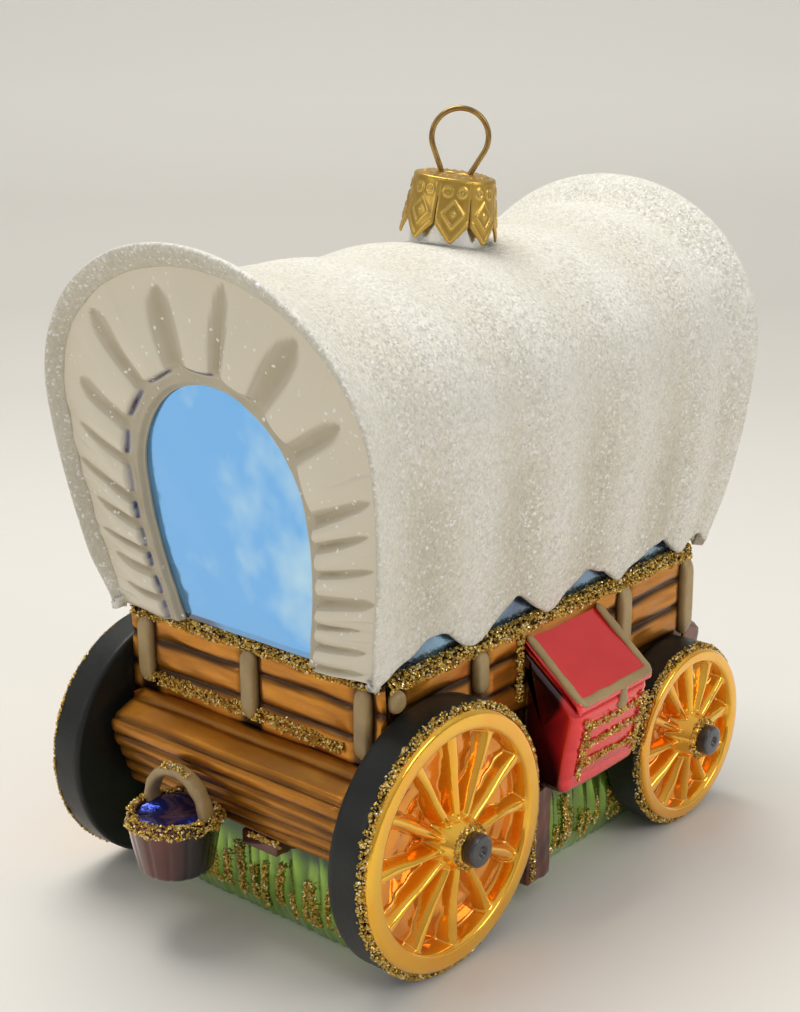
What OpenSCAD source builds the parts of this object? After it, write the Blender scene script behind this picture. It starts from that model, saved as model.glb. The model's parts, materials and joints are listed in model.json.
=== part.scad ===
// Blown glass hanging ornament in the shape of a covered wagon.
// Millimetres. +X is the way the wagon faces, +Y its left side, +Z up.
// The origin is the middle of the flat underside that the ornament stands on.
// The glass is one moulded blow, split here where its moulded parts meet.

/* [Wagon box] */
// Length of the box, from tailgate to front board
box_len = 73.5; // [61:0.5:89]
// Width of the box over its side boards
box_w = 48.6; // [40:0.2:59]
// Height of the top rail above the ground
rail_z = 42; // [41:0.5:51]
// Number of boards in each wall
boards = 3; // [2:1:5]
// Length of the feed box and foot box, out from the end walls
end_box_len = 7; // [5:0.5:9]

/* [Cover] */
// Height of the cover's top at its middle
cover_mid_z = 92; // [84:0.2:109]
// Height of the cover's top at its two ends
cover_end_z = 97.2; // [90:0.2:116]
// How far each end of the cover leans out, in degrees
cover_lean = 8.5; // [0:0.5:14]
// Height of the folds over the bows
fold_h = 1; // [0:0.1:1.6]

/* [Wheels] */
// Radius of the two rear wheels
rear_wheel_r = 19; // [15.8:0.1:20]
// Radius of the two front wheels
front_wheel_r = 14.5; // [12:0.1:17.4]
// Width of the tyres
tyre_w = 5.7; // [4.7:0.1:7]
// Distance between the front and rear wheel centres
wheelbase = 57.8; // [56:0.2:69]
// Number of spokes in each wheel
spokes = 12; // [8:1:16]

/* [Tool chest] */
// Length of each chest, along the side of the box
chest_len = 18; // [14:0.5:21]
// How far each chest stands out from the side of the box
chest_depth = 9.7; // [8:0.1:12]

/* [Bucket] */
// Radius of the bucket's rim
bucket_r = 6.6; // [5:0.1:8]
// Height of the bucket
bucket_h = 8.6; // [7:0.1:9.6]

/* [Cap and hanger] */
// Radius of the glass neck under the cap
neck_r = 5.6; // [4.6:0.1:6.6]
// Height of the crown cap, from its points to its top
cap_h = 9.2; // [8:0.1:11.5]
// Thickness of the cap's sheet metal
cap_t = 0.45; // [0.3:0.05:0.6]
// Number of points round the crown cap
crown_points = 8; // [6:1:12]
// Thickness of the hanger's wire
wire_d = 0.8; // [0.6:0.05:1]
// Width of the hanger's loop, outside
loop_w = 8.9; // [8:0.1:11]

/* [Glass] */
// Thickness of the blown glass
glass_t = 1.3; // [1:0.1:1.6]

/* [Hidden] */
$fn = 64;
// One row per wheel: name, side (+1 left, -1 right), centre along X, radius.
rear_x = -wheelbase / 2 - 0.5;
front_x = rear_x + wheelbase;
WHEELS = [
    ["rear_right", -1, rear_x, rear_wheel_r],
    ["rear_left", 1, rear_x, rear_wheel_r],
    ["front_right", -1, front_x, front_wheel_r],
    ["front_left", 1, front_x, front_wheel_r],
];

half_len = box_len / 2;
half_w = box_w / 2;
tyre_gap = 0.3;      // between a wheel and a part moulded beside it
board_t = 1.8;       // thickness of the board walls
board_h = 4.4;       // height of one board
groove = 0.7;        // width and depth of the line between two boards
base_h = 14.5;       // height of the grass mound
base_in = 2.4;       // how far the mound's underside is drawn in
post_w = 2.8;          // width of the upright posts
post_t = 1.2;        // how far a post stands out
post_drop = 1.2;     // from the rail down to a post's top
panel_z = rail_z - boards * board_h;   // lower edge of the board panels

rim_share = 0.2;     // width of a wheel's rim as a share of its radius
face_in = 0.7;       // the wheel face lies this far inside the tyre's edge
hub_out = 4.6;       // how far the hub stands out from the wheel face
hub_r = 2.4;         // radius of the black hub cap
web_t = 0.8;         // thickness of the web behind the spokes
spoke_w = 1.1;

// The cover's cross-section: upright sides, drawn in at the hem, under an elliptical arch.
shoulder_z = rail_z + 30;              // where the sides turn into the arch
hem_w = half_w + 0.8;                  // half width at the hem
mid_w = half_w + 3.5;                  // half width at the shoulder, at the middle
rear_w = half_w + 5.7;                 // half width at the shoulder, at the rear end
front_w = half_w + 5;                  // half width at the shoulder, at the front end
cover_x = half_len + 2.6;              // half length of the cover at the rail
face_in_x = 1;                         // the end walls lie this far inside the rolled hem
roll_w = 1.7;                          // width of the rolled hem at the sides
roll_top = 3.2;                        // width of the rolled hem at the top
hem_lift = 4.2;                        // the hem's rise between two bows
hem_gap = 0.4;                         // between the hem's points and the rail
BOWS = [-1, -0.48, -0.06, 0.39, 0.82, 1];   // places of the folds, as shares of cover_x
cover_rows = 40;
cover_cols = 32;

function lean_x(z) = tan(cover_lean) * (z - rail_z);
function flare(u) = pow(abs(u), 5);
function bow_index(u) = max([for (i = [0 : len(BOWS) - 2]) if (BOWS[i] <= u + 1e-6) i]);
// 0 on a bow and 1 midway between two bows, or less where two bows stand close together.
function between_bows(u) =
    let (i = bow_index(u), gap = BOWS[i + 1] - BOWS[i], t = (u - BOWS[i]) / gap)
    min(1, gap / 0.4) * (1 - cos(360 * t)) / 2;
function end_w(u) = u < 0 ? rear_w : front_w;
function half_width(u) = mid_w + (end_w(u) - mid_w) * flare(u) - fold_h * between_bows(u);
function top_z(u) = cover_mid_z + (cover_end_z - cover_mid_z) * flare(u) - fold_h * between_bows(u);
function hem_z(u) = rail_z + hem_gap + hem_lift * pow(between_bows(u), 0.7);
function side_w(u, z) =
    half_width(u) - (half_width(u) - hem_w) * (1 - sin(90 * (z - rail_z) / (shoulder_z - rail_z)));

// A point [y, z] of the cross-section at u, for v from 0 at the right hem to 1 at the left hem,
// drawn in by in_w at the sides and in_top at the top.
function arch_point(u, v, in_w = 0, in_top = 0) =
    let (side = 0.3, h = hem_z(u), w = half_width(u) - in_w, top = top_z(u) - in_top)
    v < side ? let (z = h + (shoulder_z - h) * v / side) [-(side_w(u, z) - in_w), z]
    : v > 1 - side ? let (z = h + (shoulder_z - h) * (1 - v) / side) [side_w(u, z) - in_w, z]
    : let (a = 180 * (v - side) / (1 - 2 * side)) [-w * cos(a), shoulder_z + (top - shoulder_z) * sin(a)];
function cover_point(u, v) = let (p = arch_point(u, v)) [u * (cover_x + lean_x(p[1])), p[0], p[1]];

// Outline [y, distance up the leaning plane] of an end wall, within the rolled hem.
function wall_outline(u) = [
    for (j = [0 : cover_cols]) let (p = arch_point(u, j / cover_cols, roll_w, roll_top))
        [p[0], (p[1] - rail_z) / cos(cover_lean)]
];
// The opening in an end wall, an egg with its narrow end down.
open_w = 15.2;       // half width of the opening
open_foot = 12.1;    // half width at its foot
open_z = 20;         // height of its widest line above the rail
open_top = 36.6;     // height of its top above the rail
pane_lap = 1.2;      // the pane reaches this far behind the opening's edge
pane_far = face_in_x + glass_t + 1;
lining_h = hem_lift + 2;
function open_outline(grow) =
    let (w = open_w + grow, foot = open_foot + grow)
    concat(
        [for (a = [0 : 6 : 180]) [w * cos(a), open_z + (open_top + grow - open_z) * sin(a)]],
        [for (t = [0.8 : -0.2 : 0]) [-(foot + (w - foot) * sin(90 * t)), open_z * t]],
        [for (t = [0 : 0.2 : 0.8]) [foot + (w - foot) * sin(90 * t), open_z * t]]
    );

// Feed box and foot box: end view, as [out from the wall, height].
end_box_top = rail_z - 12.2;
END_BOX = [
    [0, end_box_top], [end_box_len - 0.4, end_box_top - 2.8], [end_box_len, end_box_top - 4],
    [end_box_len - 0.3, end_box_top - 6.4], [end_box_len - 3.6, base_h + 0.9], [0, base_h],
];
end_box_w = box_w - 3;

// Tool chest: end view, as [out from the side, height].
chest_top = rail_z - 2.2;
chest_lip = chest_top - 7.8;
chest_foot = chest_lip - 14.6;
chest_toe = 2.5;     // the front face leans in this much at its foot
lid_t = 1.4;
edging_w = 1.5;
chest_x = (rear_x + rear_wheel_r + front_x - front_wheel_r) / 2;
lid_fall = atan2(chest_top - chest_lip, chest_depth);
lid_run = norm([chest_top - chest_lip, chest_depth]);

bucket_x = -half_len - end_box_len - 2.4;
bucket_y = 6;
bucket_top = base_h + 4;
bucket_foot_r = bucket_r * 0.77;
bucket_wall = 1.2;
handle_w = 2.3;      // width of the handle's flat bail
handle_t = 1.2;
handle_r = bucket_r - 0.2;

block_len = 5.6;
block_depth = 3;
block_x = rear_x + rear_wheel_r + 1;

// The neck, cap and hanger share one leaning axis.
neck_x = 5.3;
neck_lean = 7;          // the neck leans towards the wagon's right front
neck_turn = -49;          // the way it leans and the way the hanger's loop faces
neck_z = cover_mid_z - fold_h;
cap_clear = 0.25;         // between cap and neck
cap_foot = 1.1;           // height of the crown's points above the neck's foot
cap_top = cap_foot + cap_h;
neck_wall = 1.2;
neck_sunk = 3;            // length of neck below its foot, inside the cover
bore_sunk = 20;           // depth of the bore below the neck's foot
cap_r = neck_r + cap_clear + cap_t;
crown_flare = 0.8;        // the crown is this much wider at its points
point_h = 2.6;            // height of the crown's points
slit_w = 0.3;
leg_gap = 1.95;           // from the axis to each leg, at the cap
leg_len = 12;             // length of the legs below the cap's top
leg_spread = 3;           // from the axis to each leg's end
loop_r = (loop_w - wire_d) / 2;
loop_rise = loop_r + 0.95;   // from the cap's top to the loop's centre
hole_r = wire_d / 2 + 0.25;
knee_swell = 1.08;        // the wire swells this much where it is bent sharply

module mirrored(side) {
    mirror([0, side > 0 ? 0 : 1, 0]) children();
}

module at_end(front) {
    mirror([front ? 0 : 1, 0, 0]) translate([half_len, 0, 0]) children();
}

// Lays a drawing of [out, height] along Y, centred, w wide.
module along_y(w) {
    translate([0, w / 2, 0]) rotate([90, 0, 0]) linear_extrude(w) children();
}

// Lays a drawing of [out from the side, height] along X, centred, w long.
module along_x(w) {
    translate([-w / 2, 0, 0]) rotate([90, 0, 90]) linear_extrude(w) children();
}

// Stands a drawing up in the leaning plane of an end of the cover, from near to far inside it.
module end_plate(front, near, far) {
    mirror([front ? 0 : 1, 0, 0]) translate([cover_x, 0, rail_z]) rotate([0, cover_lean, 0])
        rotate([90, 0, 90]) translate([0, 0, -far]) linear_extrude(far - near) children();
}

module on_neck() {
    translate([neck_x, 0, neck_z]) rotate([0, 0, neck_turn]) rotate([0, neck_lean, 0]) children();
}

// A loft over the bows, with a scalloped hem, recessed for its end walls, its lining and the neck.
module cover() {
    n = cover_rows;
    m = cover_cols;
    points = [for (i = [0 : n], j = [0 : m]) cover_point(-1 + 2 * i / n, j / m)];
    function at(i, j) = i * (m + 1) + j;
    function quad(a, b, c, d) = [[a, b, c], [a, c, d]];
    faces = concat(
        [for (i = [0 : n - 1], j = [0 : m - 1]) each quad(at(i, j), at(i, j + 1), at(i + 1, j + 1), at(i + 1, j))],
        [for (i = [0 : n - 1]) each quad(at(i, 0), at(i + 1, 0), at(i + 1, m), at(i, m))],
        [[for (j = [m : -1 : 0]) at(0, j)], [for (j = [0 : m]) at(n, j)]]
    );
    color("whitesmoke") difference() {
        polyhedron(points, faces, convexity = 6);
        for (front = [false, true]) {
            end_plate(front, -1, face_in_x + glass_t) polygon(wall_outline(front ? 1 : -1));
            end_plate(front, face_in_x, pane_far) polygon(open_outline(pane_lap));
        }
        lining_block();
        on_neck() translate([0, 0, -neck_sunk]) cylinder(r = neck_r, h = 6 * neck_sunk);
        on_neck() translate([0, 0, -bore_sunk]) cylinder(r = neck_r - neck_wall, h = bore_sunk);
    }
}

module gathers(front) {
    color("wheat") end_plate(front, face_in_x, face_in_x + glass_t) difference() {
        polygon(wall_outline(front ? 1 : -1));
        polygon(open_outline(0));
    }
}

module pane(front) {
    color("lightskyblue") end_plate(front, face_in_x + glass_t, pane_far) polygon(open_outline(pane_lap));
}

module lining_block() {
    translate([0, 0, rail_z]) linear_extrude(lining_h)
        square([2 * (half_len - 1.6), 2 * (hem_w - 2)], center = true);
}

module cover_lining() {
    color("steelblue") lining_block();
}

module glass_neck() {
    color("silver") on_neck() difference() {
        translate([0, 0, -neck_sunk]) cylinder(r = neck_r, h = neck_sunk + cap_top - cap_t);
        translate([0, 0, -neck_sunk - 1]) cylinder(r = neck_r - neck_wall, h = neck_sunk + cap_top + 2);
    }
}

// A wall of boards: its outline as [out, height], grooved between the boards. The outside is at 0.
module board_section(top, bottom) {
    difference() {
        translate([-board_t, bottom]) square([board_t, top - bottom]);
        for (i = [1 : boards])
            translate([0, top - i * board_h]) circle(r = groove / 2);
    }
}

module side_boards(side) {
    color("peru") mirrored(side) translate([0, half_w, 0])
        along_x(box_len - 2 * board_t) board_section(rail_z, base_h);
}

module end_boards(front) {
    color("peru") at_end(front) along_y(box_w) board_section(rail_z, base_h);
}

// A post with round ends, drawn in [along the wall, height].
module post_outline(x, bottom) {
    top = rail_z - post_drop;
    translate([x, top - post_w / 2]) circle(d = post_w);
    translate([x, bottom + post_w / 2]) circle(d = post_w);
    translate([x - post_w / 2, bottom + post_w / 2]) square([post_w, top - bottom - post_w]);
}

// Four posts along the side, cut off where they meet the tyres.
module side_posts(side) {
    step = (half_len - post_w / 2 - 0.6) / 2;
    color("tan") mirrored(side) translate([0, half_w + post_t, 0]) rotate([90, 0, 0]) linear_extrude(post_t)
        difference() {
            for (i = [-2, -1, 1, 2]) post_outline(i * step, panel_z - 0.8);
            for (w = WHEELS) if (w[1] == side) translate([w[2], w[3]]) circle(r = w[3] + tyre_gap);
        }
}

module end_posts(front) {
    step = half_w - post_w / 2 - 2;
    color("tan") at_end(front) rotate([90, 0, 90]) linear_extrude(post_t)
        for (i = [-1 : 1]) post_outline(i * step, end_box_top + 0.6);
}

module end_box(front) {
    color(front ? "saddlebrown" : "peru") at_end(front) along_y(end_box_w) polygon(END_BOX);
}

// It fills the corner between the sloping grass and the underside of the feed box.
module tail_beam() {
    reach = end_box_len - 3.6;
    color("sienna") translate([-half_len, -4, 0]) mirror([1, 0, 0]) along_y(7) polygon([
        [0.6 * 1.6 / (base_h - 5), base_h - 1.6], [reach, base_h - 1.6], [reach, base_h + 0.9], [0, base_h],
    ]);
}

// The chest without its lid.
CHEST = [
    [0, chest_top - lid_t / cos(lid_fall)], [chest_depth, chest_lip - lid_t / cos(lid_fall)],
    [chest_depth - chest_toe, chest_foot], [0, chest_foot],
];

module chest(side) {
    color("darkred") mirrored(side) translate([chest_x, half_w, 0]) along_x(chest_len) polygon(CHEST);
}

module chest_lid(side) {
    color("firebrick") mirrored(side) translate([chest_x, half_w, 0])
        along_x(chest_len) polygon([
            [0, chest_top], [chest_depth, chest_lip],
            [chest_depth, chest_lip - lid_t / cos(lid_fall)], [0, chest_top - lid_t / cos(lid_fall)],
        ]);
}

// Three strips round the lid and the clasp that hangs from its lip.
module chest_edging(side) {
    proud = 0.5;
    color("tan") mirrored(side) translate([chest_x, half_w, 0]) {
        for (s = [-1, 1])
            translate([s * (chest_len - edging_w) / 2, 0, 0]) along_x(edging_w)
                polygon([[0, chest_top], [chest_depth, chest_lip], [chest_depth, chest_lip + proud],
                    [0, chest_top + proud]]);
        along_x(chest_len) translate([chest_depth, chest_lip - lid_t]) square([proud, lid_t + proud]);
        translate([chest_len * 0.1, 0, 0]) along_x(2)
            translate([chest_depth, chest_lip - 4.2]) square([proud, 4.2]);
    }
}

// The bucket stands against the feed box, which cuts into its back.
module bucket() {
    color("maroon") difference() {
        translate([bucket_x, bucket_y, bucket_top - bucket_h]) difference() {
            cylinder(r1 = bucket_foot_r, r2 = bucket_r, h = bucket_h);
            translate([0, 0, bucket_h - 1.4]) cylinder(r = bucket_r - bucket_wall, h = 2);
        }
        end_box(false);
    }
}

module bucket_water() {
    color("mediumblue") difference() {
        translate([bucket_x, bucket_y, bucket_top - 1.4]) cylinder(r = bucket_r - bucket_wall, h = 0.8);
        end_box(false);
    }
}

module bucket_handle() {
    color("tan") difference() {
        translate([bucket_x + handle_t / 2, bucket_y, bucket_top]) rotate([0, 0, 90]) rotate([90, 0, 0])
            rotate_extrude(angle = 180) translate([handle_r - handle_w / 2, 0])
                square([handle_w, handle_t], center = true);
        end_box(false);
    }
}

module brake_block(side) {
    color("rosybrown") mirrored(side) translate([block_x, half_w, 2.6])
        cube([block_len, block_depth, chest_foot - 2.6 - tyre_gap]);
}

module grass_base() {
    long = half_len + 0.6;
    wide = half_w;
    color("yellowgreen") intersection() {
        along_y(box_w) polygon([
            [-long + base_in, 0], [long - base_in, 0], [long, 5], [long - 0.6, base_h],
            [-long + 0.6, base_h], [-long, 5],
        ]);
        along_x(box_len + 10) polygon([
            [-wide + base_in, 0], [wide - base_in, 0], [wide, 4], [wide, base_h],
            [-wide, base_h], [-wide, 4],
        ]);
    }
}

// Puts a drawing of a wheel, with its axis along +Z and outer side up, in its place.
module at_wheel(w) {
    mirrored(w[1]) translate([w[2], half_w, w[3]]) rotate([-90, 0, 0]) children();
}

module tyre(w) {
    r = w[3];
    hollow = r * (1 - rim_share / 4);
    color("dimgray") at_wheel(w) rotate_extrude() difference() {
        polygon([[0, 0], [r, 0], [r, tyre_w - 0.7], [r - 0.7, tyre_w], [0, tyre_w]]);
        translate([-1, tyre_w - 2.4]) square([hollow + 1, 3]);
    }
}

// Rim, web and conical hub in one turning, with the spokes standing on the web.
module wheel(w) {
    r = w[3] * (1 - rim_share / 4);
    rim = w[3] * rim_share;
    floor_z = tyre_w - 2.4;
    face_z = tyre_w - face_in;
    hub_z = tyre_w + hub_out - 1.2;
    foot = hub_r + 0.3;
    color("orange") at_wheel(w) {
        rotate_extrude() polygon([
            [0, floor_z], [r, floor_z], [r, face_z], [r - rim, face_z], [r - rim, floor_z + web_t],
            [hub_r + 2.4, floor_z + web_t], [hub_r + 0.5, hub_z], [0, hub_z],
        ]);
        for (i = [0 : spokes - 1])
            rotate([0, 0, i * 360 / spokes]) rotate([90, 0, 0]) translate([0, 0, -spoke_w / 2])
                linear_extrude(spoke_w) polygon([
                    [foot, floor_z + web_t / 2], [r - rim + 0.5, floor_z + web_t / 2],
                    [r - rim + 0.5, face_z - 0.2], [hub_r + 1.4, face_z + 1.2], [foot, face_z + 1.2],
                ]);
    }
}

module hub_cap(w) {
    color("dimgray") at_wheel(w) translate([0, 0, tyre_w + hub_out - 1.2]) difference() {
        cylinder(r = hub_r, h = 1.4);
        translate([0, 0, 1]) cylinder(r = 0.7, h = 1);
    }
}

module crown_cap() {
    skirt_r = cap_r + crown_flare;
    pitch = 360 / crown_points;
    tip_w = skirt_r * tan(pitch / 2);
    color("goldenrod") on_neck() difference() {
        translate([0, 0, cap_foot]) rotate_extrude() polygon([
            [0, cap_h - cap_t], [cap_r - cap_t, cap_h - cap_t], [skirt_r - cap_t, 0], [skirt_r, 0],
            [cap_r, cap_h - 0.6], [cap_r - 0.5, cap_h], [0, cap_h],
        ]);
        for (i = [0 : crown_points - 1]) rotate([0, 0, (i + 0.5) * pitch]) {
            translate([0, 0, cap_foot - 0.01]) rotate([90, 0, 90]) linear_extrude(2 * skirt_r)
                polygon([[-tip_w, -1], [tip_w, -1], [0.5, point_h], [-0.5, point_h]]);
            translate([cap_r - 1.6, -slit_w / 2, cap_foot]) cube([skirt_r, slit_w, cap_h - 2.4]);
        }
        for (s = [-1, 1]) translate([s * leg_gap, 0, cap_foot]) cylinder(r = hole_r, h = 2 * cap_h, $fn = 32);
    }
}

// A straight piece of the hanger's wire, from a to b.
module wire(a, b) {
    d = b - a;
    translate(a) rotate([0, acos(d[2] / norm(d)), atan2(d[1], d[0])]) cylinder(d = wire_d, h = norm(d));
}

// The loop is most of a circle, and each leg leaves it along a tangent.
module hanger() {
    knee_z = cap_top - cap_t / 2;
    rise = loop_rise + cap_t / 2;
    reach = norm([leg_gap, rise]);
    turn = acos(loop_r / reach) - atan2(rise, leg_gap);
    color("darkgoldenrod") on_neck() translate([0, 0, knee_z]) {
        translate([0, 0, rise]) rotate([90, 0, 0]) rotate([0, 0, turn])
            rotate_extrude(angle = 180 - 2 * turn) translate([loop_r, 0]) circle(d = wire_d);
        for (s = [-1, 1]) {
            translate([s * leg_gap, 0, 0]) sphere(d = wire_d * knee_swell);
            leave = [s * loop_r * cos(turn), 0, rise + loop_r * sin(turn)];
            translate(leave) sphere(d = wire_d * knee_swell);
            wire([s * leg_gap, 0, 0], leave);
            wire([s * leg_gap, 0, 0], [s * leg_spread, 0, -leg_len]);
        }
    }
}

cover();
gathers(false);  // rear_gathers
gathers(true);  // front_gathers
pane(false);  // rear_pane
pane(true);  // front_pane
cover_lining();
glass_neck();
side_boards(-1);  // side_boards_right
side_boards(1);  // side_boards_left
side_posts(-1);  // side_posts_right
side_posts(1);  // side_posts_left
end_boards(false);  // tailgate
end_posts(false);  // tailgate_posts
end_boards(true);  // front_board
end_posts(true);  // front_posts
end_box(false);  // feed_box
end_box(true);  // foot_box
tail_beam();
chest(-1);  // chest_right
chest(1);  // chest_left
chest_lid(-1);  // chest_lid_right
chest_lid(1);  // chest_lid_left
chest_edging(-1);  // chest_edging_right
chest_edging(1);  // chest_edging_left
bucket();
bucket_water();
bucket_handle();
brake_block(-1);  // brake_block_right
brake_block(1);  // brake_block_left
grass_base();
for (w = WHEELS) {
    tyre(w);
    wheel(w);
    hub_cap(w);
}
crown_cap();
hanger();
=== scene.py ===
import bpy, json
import numpy as np
from mathutils import Matrix, Vector


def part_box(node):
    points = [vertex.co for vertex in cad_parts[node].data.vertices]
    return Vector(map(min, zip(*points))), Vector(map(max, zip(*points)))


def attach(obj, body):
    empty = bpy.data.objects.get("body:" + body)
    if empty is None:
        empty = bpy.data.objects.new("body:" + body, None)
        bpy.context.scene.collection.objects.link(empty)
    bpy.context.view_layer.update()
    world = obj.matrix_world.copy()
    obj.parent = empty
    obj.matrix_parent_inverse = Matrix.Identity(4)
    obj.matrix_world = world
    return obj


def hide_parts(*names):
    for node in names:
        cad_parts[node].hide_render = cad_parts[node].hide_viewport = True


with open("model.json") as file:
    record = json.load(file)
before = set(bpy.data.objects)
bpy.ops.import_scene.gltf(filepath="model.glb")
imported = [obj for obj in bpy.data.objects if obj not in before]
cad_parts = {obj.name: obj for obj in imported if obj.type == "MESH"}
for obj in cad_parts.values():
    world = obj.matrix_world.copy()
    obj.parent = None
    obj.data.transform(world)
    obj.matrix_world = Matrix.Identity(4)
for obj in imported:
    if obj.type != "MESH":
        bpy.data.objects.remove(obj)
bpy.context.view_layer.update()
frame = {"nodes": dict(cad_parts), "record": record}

# The table and the room. The ornament stands on a broad pale sheet that sweeps up far behind it,
# under one large soft lamp overhead, one beside it and an even pale room.
mm = 0.001
sheet_near, sheet_far, sheet_up = (0.78, 0.755, 0.705), (0.635, 0.61, 0.565), (0.98, 0.95, 0.88)
look = np.array([0.7568, 0.6536, 0.0])


def new_piece(name, points, faces):
    """A mesh object in the scene, from points in metres."""
    mesh = bpy.data.meshes.new(name)
    mesh.from_pydata(points.tolist(), [], faces)
    thing = bpy.data.objects.new(name, mesh)
    bpy.context.scene.collection.objects.link(thing)
    return thing


def set_mark(thing, mark, values):
    """Keeps one value per point as the mesh's attribute of this name."""
    thing.data.attributes.new(mark, "FLOAT", "POINT").data.foreach_set("value", values.astype(np.float32))


def loft(name, rings, closed=True, **marks):
    """Quads between rings of points, an (n, m, 3) array in mm. If closed, each ring closes on itself,
    and a fan from its middle covers the first and the last ring. If not, the rings make an open sheet.
    The faces point away from the middle: the sum of centre times normal over all faces is made positive.
    marks are (n, m) arrays kept as point attributes."""
    rings = rings * mm
    n, m, _ = rings.shape
    i = np.arange(n - 1)[:, None]
    j = np.arange(m if closed else m - 1)[None, :]
    j2 = (j + 1) % m
    quads = np.stack([i * m + j, i * m + j2, (i + 1) * m + j2, (i + 1) * m + j], -1).reshape(-1, 4)
    pts = rings.reshape(-1, 3)
    q = pts[quads]
    normal = np.cross(q[:, 2] - q[:, 0], q[:, 3] - q[:, 1])
    outward = ((q.mean(1) - pts.mean(0)) * normal).sum() >= 0
    if not outward:
        quads = quads[:, ::-1]
    faces = quads.tolist()
    if closed:
        k, k2 = np.arange(m), (np.arange(m) + 1) % m
        first = np.stack([0 * k + n * m, k2, k], -1)
        last = np.stack([0 * k + n * m + 1, (n - 1) * m + k, (n - 1) * m + k2], -1)
        fans = np.concatenate([first, last])
        faces += (fans if outward else fans[:, ::-1]).tolist()
        pts = np.concatenate([pts, rings[[0, -1]].mean(1)])
    thing = new_piece(name, pts, faces)
    thing.data.polygons.foreach_set("use_smooth", np.full(len(faces), True))
    for word, values in marks.items():
        values = np.broadcast_to(values, (n, m)).astype(np.float32)
        set_mark(thing, word, np.concatenate([values.ravel(), values[[0, -1]].mean(1)])[:len(pts)])
    return thing


def shader(name):
    """A new material: returns it, its Principled BSDF, and the function that adds a node to it."""
    mat = bpy.data.materials.new(name)
    mat.use_nodes = True
    return mat, mat.node_tree.nodes["Principled BSDF"], putter(mat.node_tree)


def putter(tree):
    """The function that adds nodes to this tree: put(kind, {property: value}, input=value or socket) makes a node,
    or takes the one given, and sets or links each named or numbered input."""
    def put(kind, props=None, **inputs):
        n = kind if isinstance(kind, bpy.types.Node) else tree.nodes.new(kind)
        for key, value in (props or {}).items():
            setattr(n, key, value)
        for key, value in inputs.items():
            s = n.inputs[int(key[1:])] if key[0] == "_" and key[1:].isdigit() else n.inputs[key.replace("_", " ")]
            if isinstance(value, bpy.types.NodeSocket):
                tree.links.new(value, s)
            elif s.type == "RGBA":
                s.default_value = (*value, 1) if len(value) == 3 else value
            else:
                s.default_value = value
        return n
    return put


def blend_colour(put, mask, a, b):
    """Colour a where mask is 0 and b where it is 1; a and b are colours or sockets."""
    return put("ShaderNodeMix", {"data_type": "RGBA"}, _0=mask, _6=a, _7=b).outputs[2]


def mark(put, word):
    """The piece's own attribute of this name."""
    return put("ShaderNodeAttribute", {"attribute_name": word}).outputs["Fac"]


def straight(put, value, low, high, to_low=0.0, to_high=1.0):
    """value carried from low..high to to_low..to_high, and held at both ends."""
    return put("ShaderNodeMapRange", {}, Value=value, From_Min=low, From_Max=high, To_Min=to_low,
               To_Max=to_high).outputs[0]


# profile of the sheet: flat from well in front of the camera to flat_run behind, then a quarter circle and an upright
sheet_start, sheet_half, flat_run, bend_r, sheet_top = -7.0, 6.0, 0.8, 0.5, 2.4
bend = np.radians(np.linspace(0, 90, 24))[1:]
run = np.concatenate([[sheet_start], np.linspace(-0.5, flat_run, 40), flat_run + bend_r * np.sin(bend),
                      [flat_run + bend_r]])
rise = np.concatenate([np.zeros(41), bend_r - bend_r * np.cos(bend), [sheet_top]])
across = np.array([look[1], -look[0], 0])
floor_rings = run[:, None, None] * look + rise[:, None, None] * [0, 0, 1]
floor_rings = floor_rings + np.array([-sheet_half, sheet_half])[None, :, None] * across
floor = loft("pale_sheet", floor_rings / mm, closed=False)
if floor.data.polygons[10].normal.z < 0:
    floor.data.flip_normals()
mat, bsdf, put = shader("pale_sheet")
where = put("ShaderNodeVectorMath", {"operation": "DOT_PRODUCT"}, _0=put("ShaderNodeTexCoord").outputs["Object"],
            _1=tuple(look))
# Painted shade and light: the sheet darkens from 5 to 30 cm behind the ornament, then grows pale again from 45 cm
# back and up the upright.
level = blend_colour(put, straight(put, where.outputs["Value"], 0.05, 0.30), sheet_near, sheet_far)
put(bsdf, Base_Color=blend_colour(put, straight(put, where.outputs["Value"], 0.45, 1.0), level, sheet_up),
    Roughness=0.8)
floor.data.materials.append(mat)

world = bpy.data.worlds.new("room")
bpy.context.scene.world = world
world.use_nodes = True
put = putter(world.node_tree)
high = put("ShaderNodeSeparateXYZ", {}, _0=put("ShaderNodeTexCoord").outputs["Generated"]).outputs["Z"]
room = world.node_tree.nodes["Background"]
put(room, Color=blend_colour(put, straight(put, high, -0.1, 0.75), (0.80, 0.80, 0.82), (0.98, 0.99, 1.0)),
    Strength=straight(put, high, -0.1, 0.8, 0.30, 0.66))
for name, place, size, power, tint in [
    ("lamp_overhead", (0.05, 0.25, 0.75), 0.50, 3.7, (1, 0.98, 0.93)),
    ("lamp_right", (0.15, -0.75, 0.45), 0.40, 1.35, (1, 0.97, 0.92)),
    ("lamp_behind", (-0.75, 0.35, 0.35), 0.35, 0.45, (1, 0.98, 0.95)),
]:
    data = bpy.data.lights.new(name, "AREA")
    data.shape, data.size, data.energy, data.color = "DISK", size, power, tint
    lamp = bpy.data.objects.new(name, data)
    lamp.location = place
    lamp.rotation_mode = "QUATERNION"
    lamp.rotation_quaternion = (Vector((0, 0, 0.05)) - Vector(place)).to_track_quat("-Z", "Y")
    bpy.context.scene.collection.objects.link(lamp)
bpy.context.scene.view_settings.view_transform = "Standard"

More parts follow.
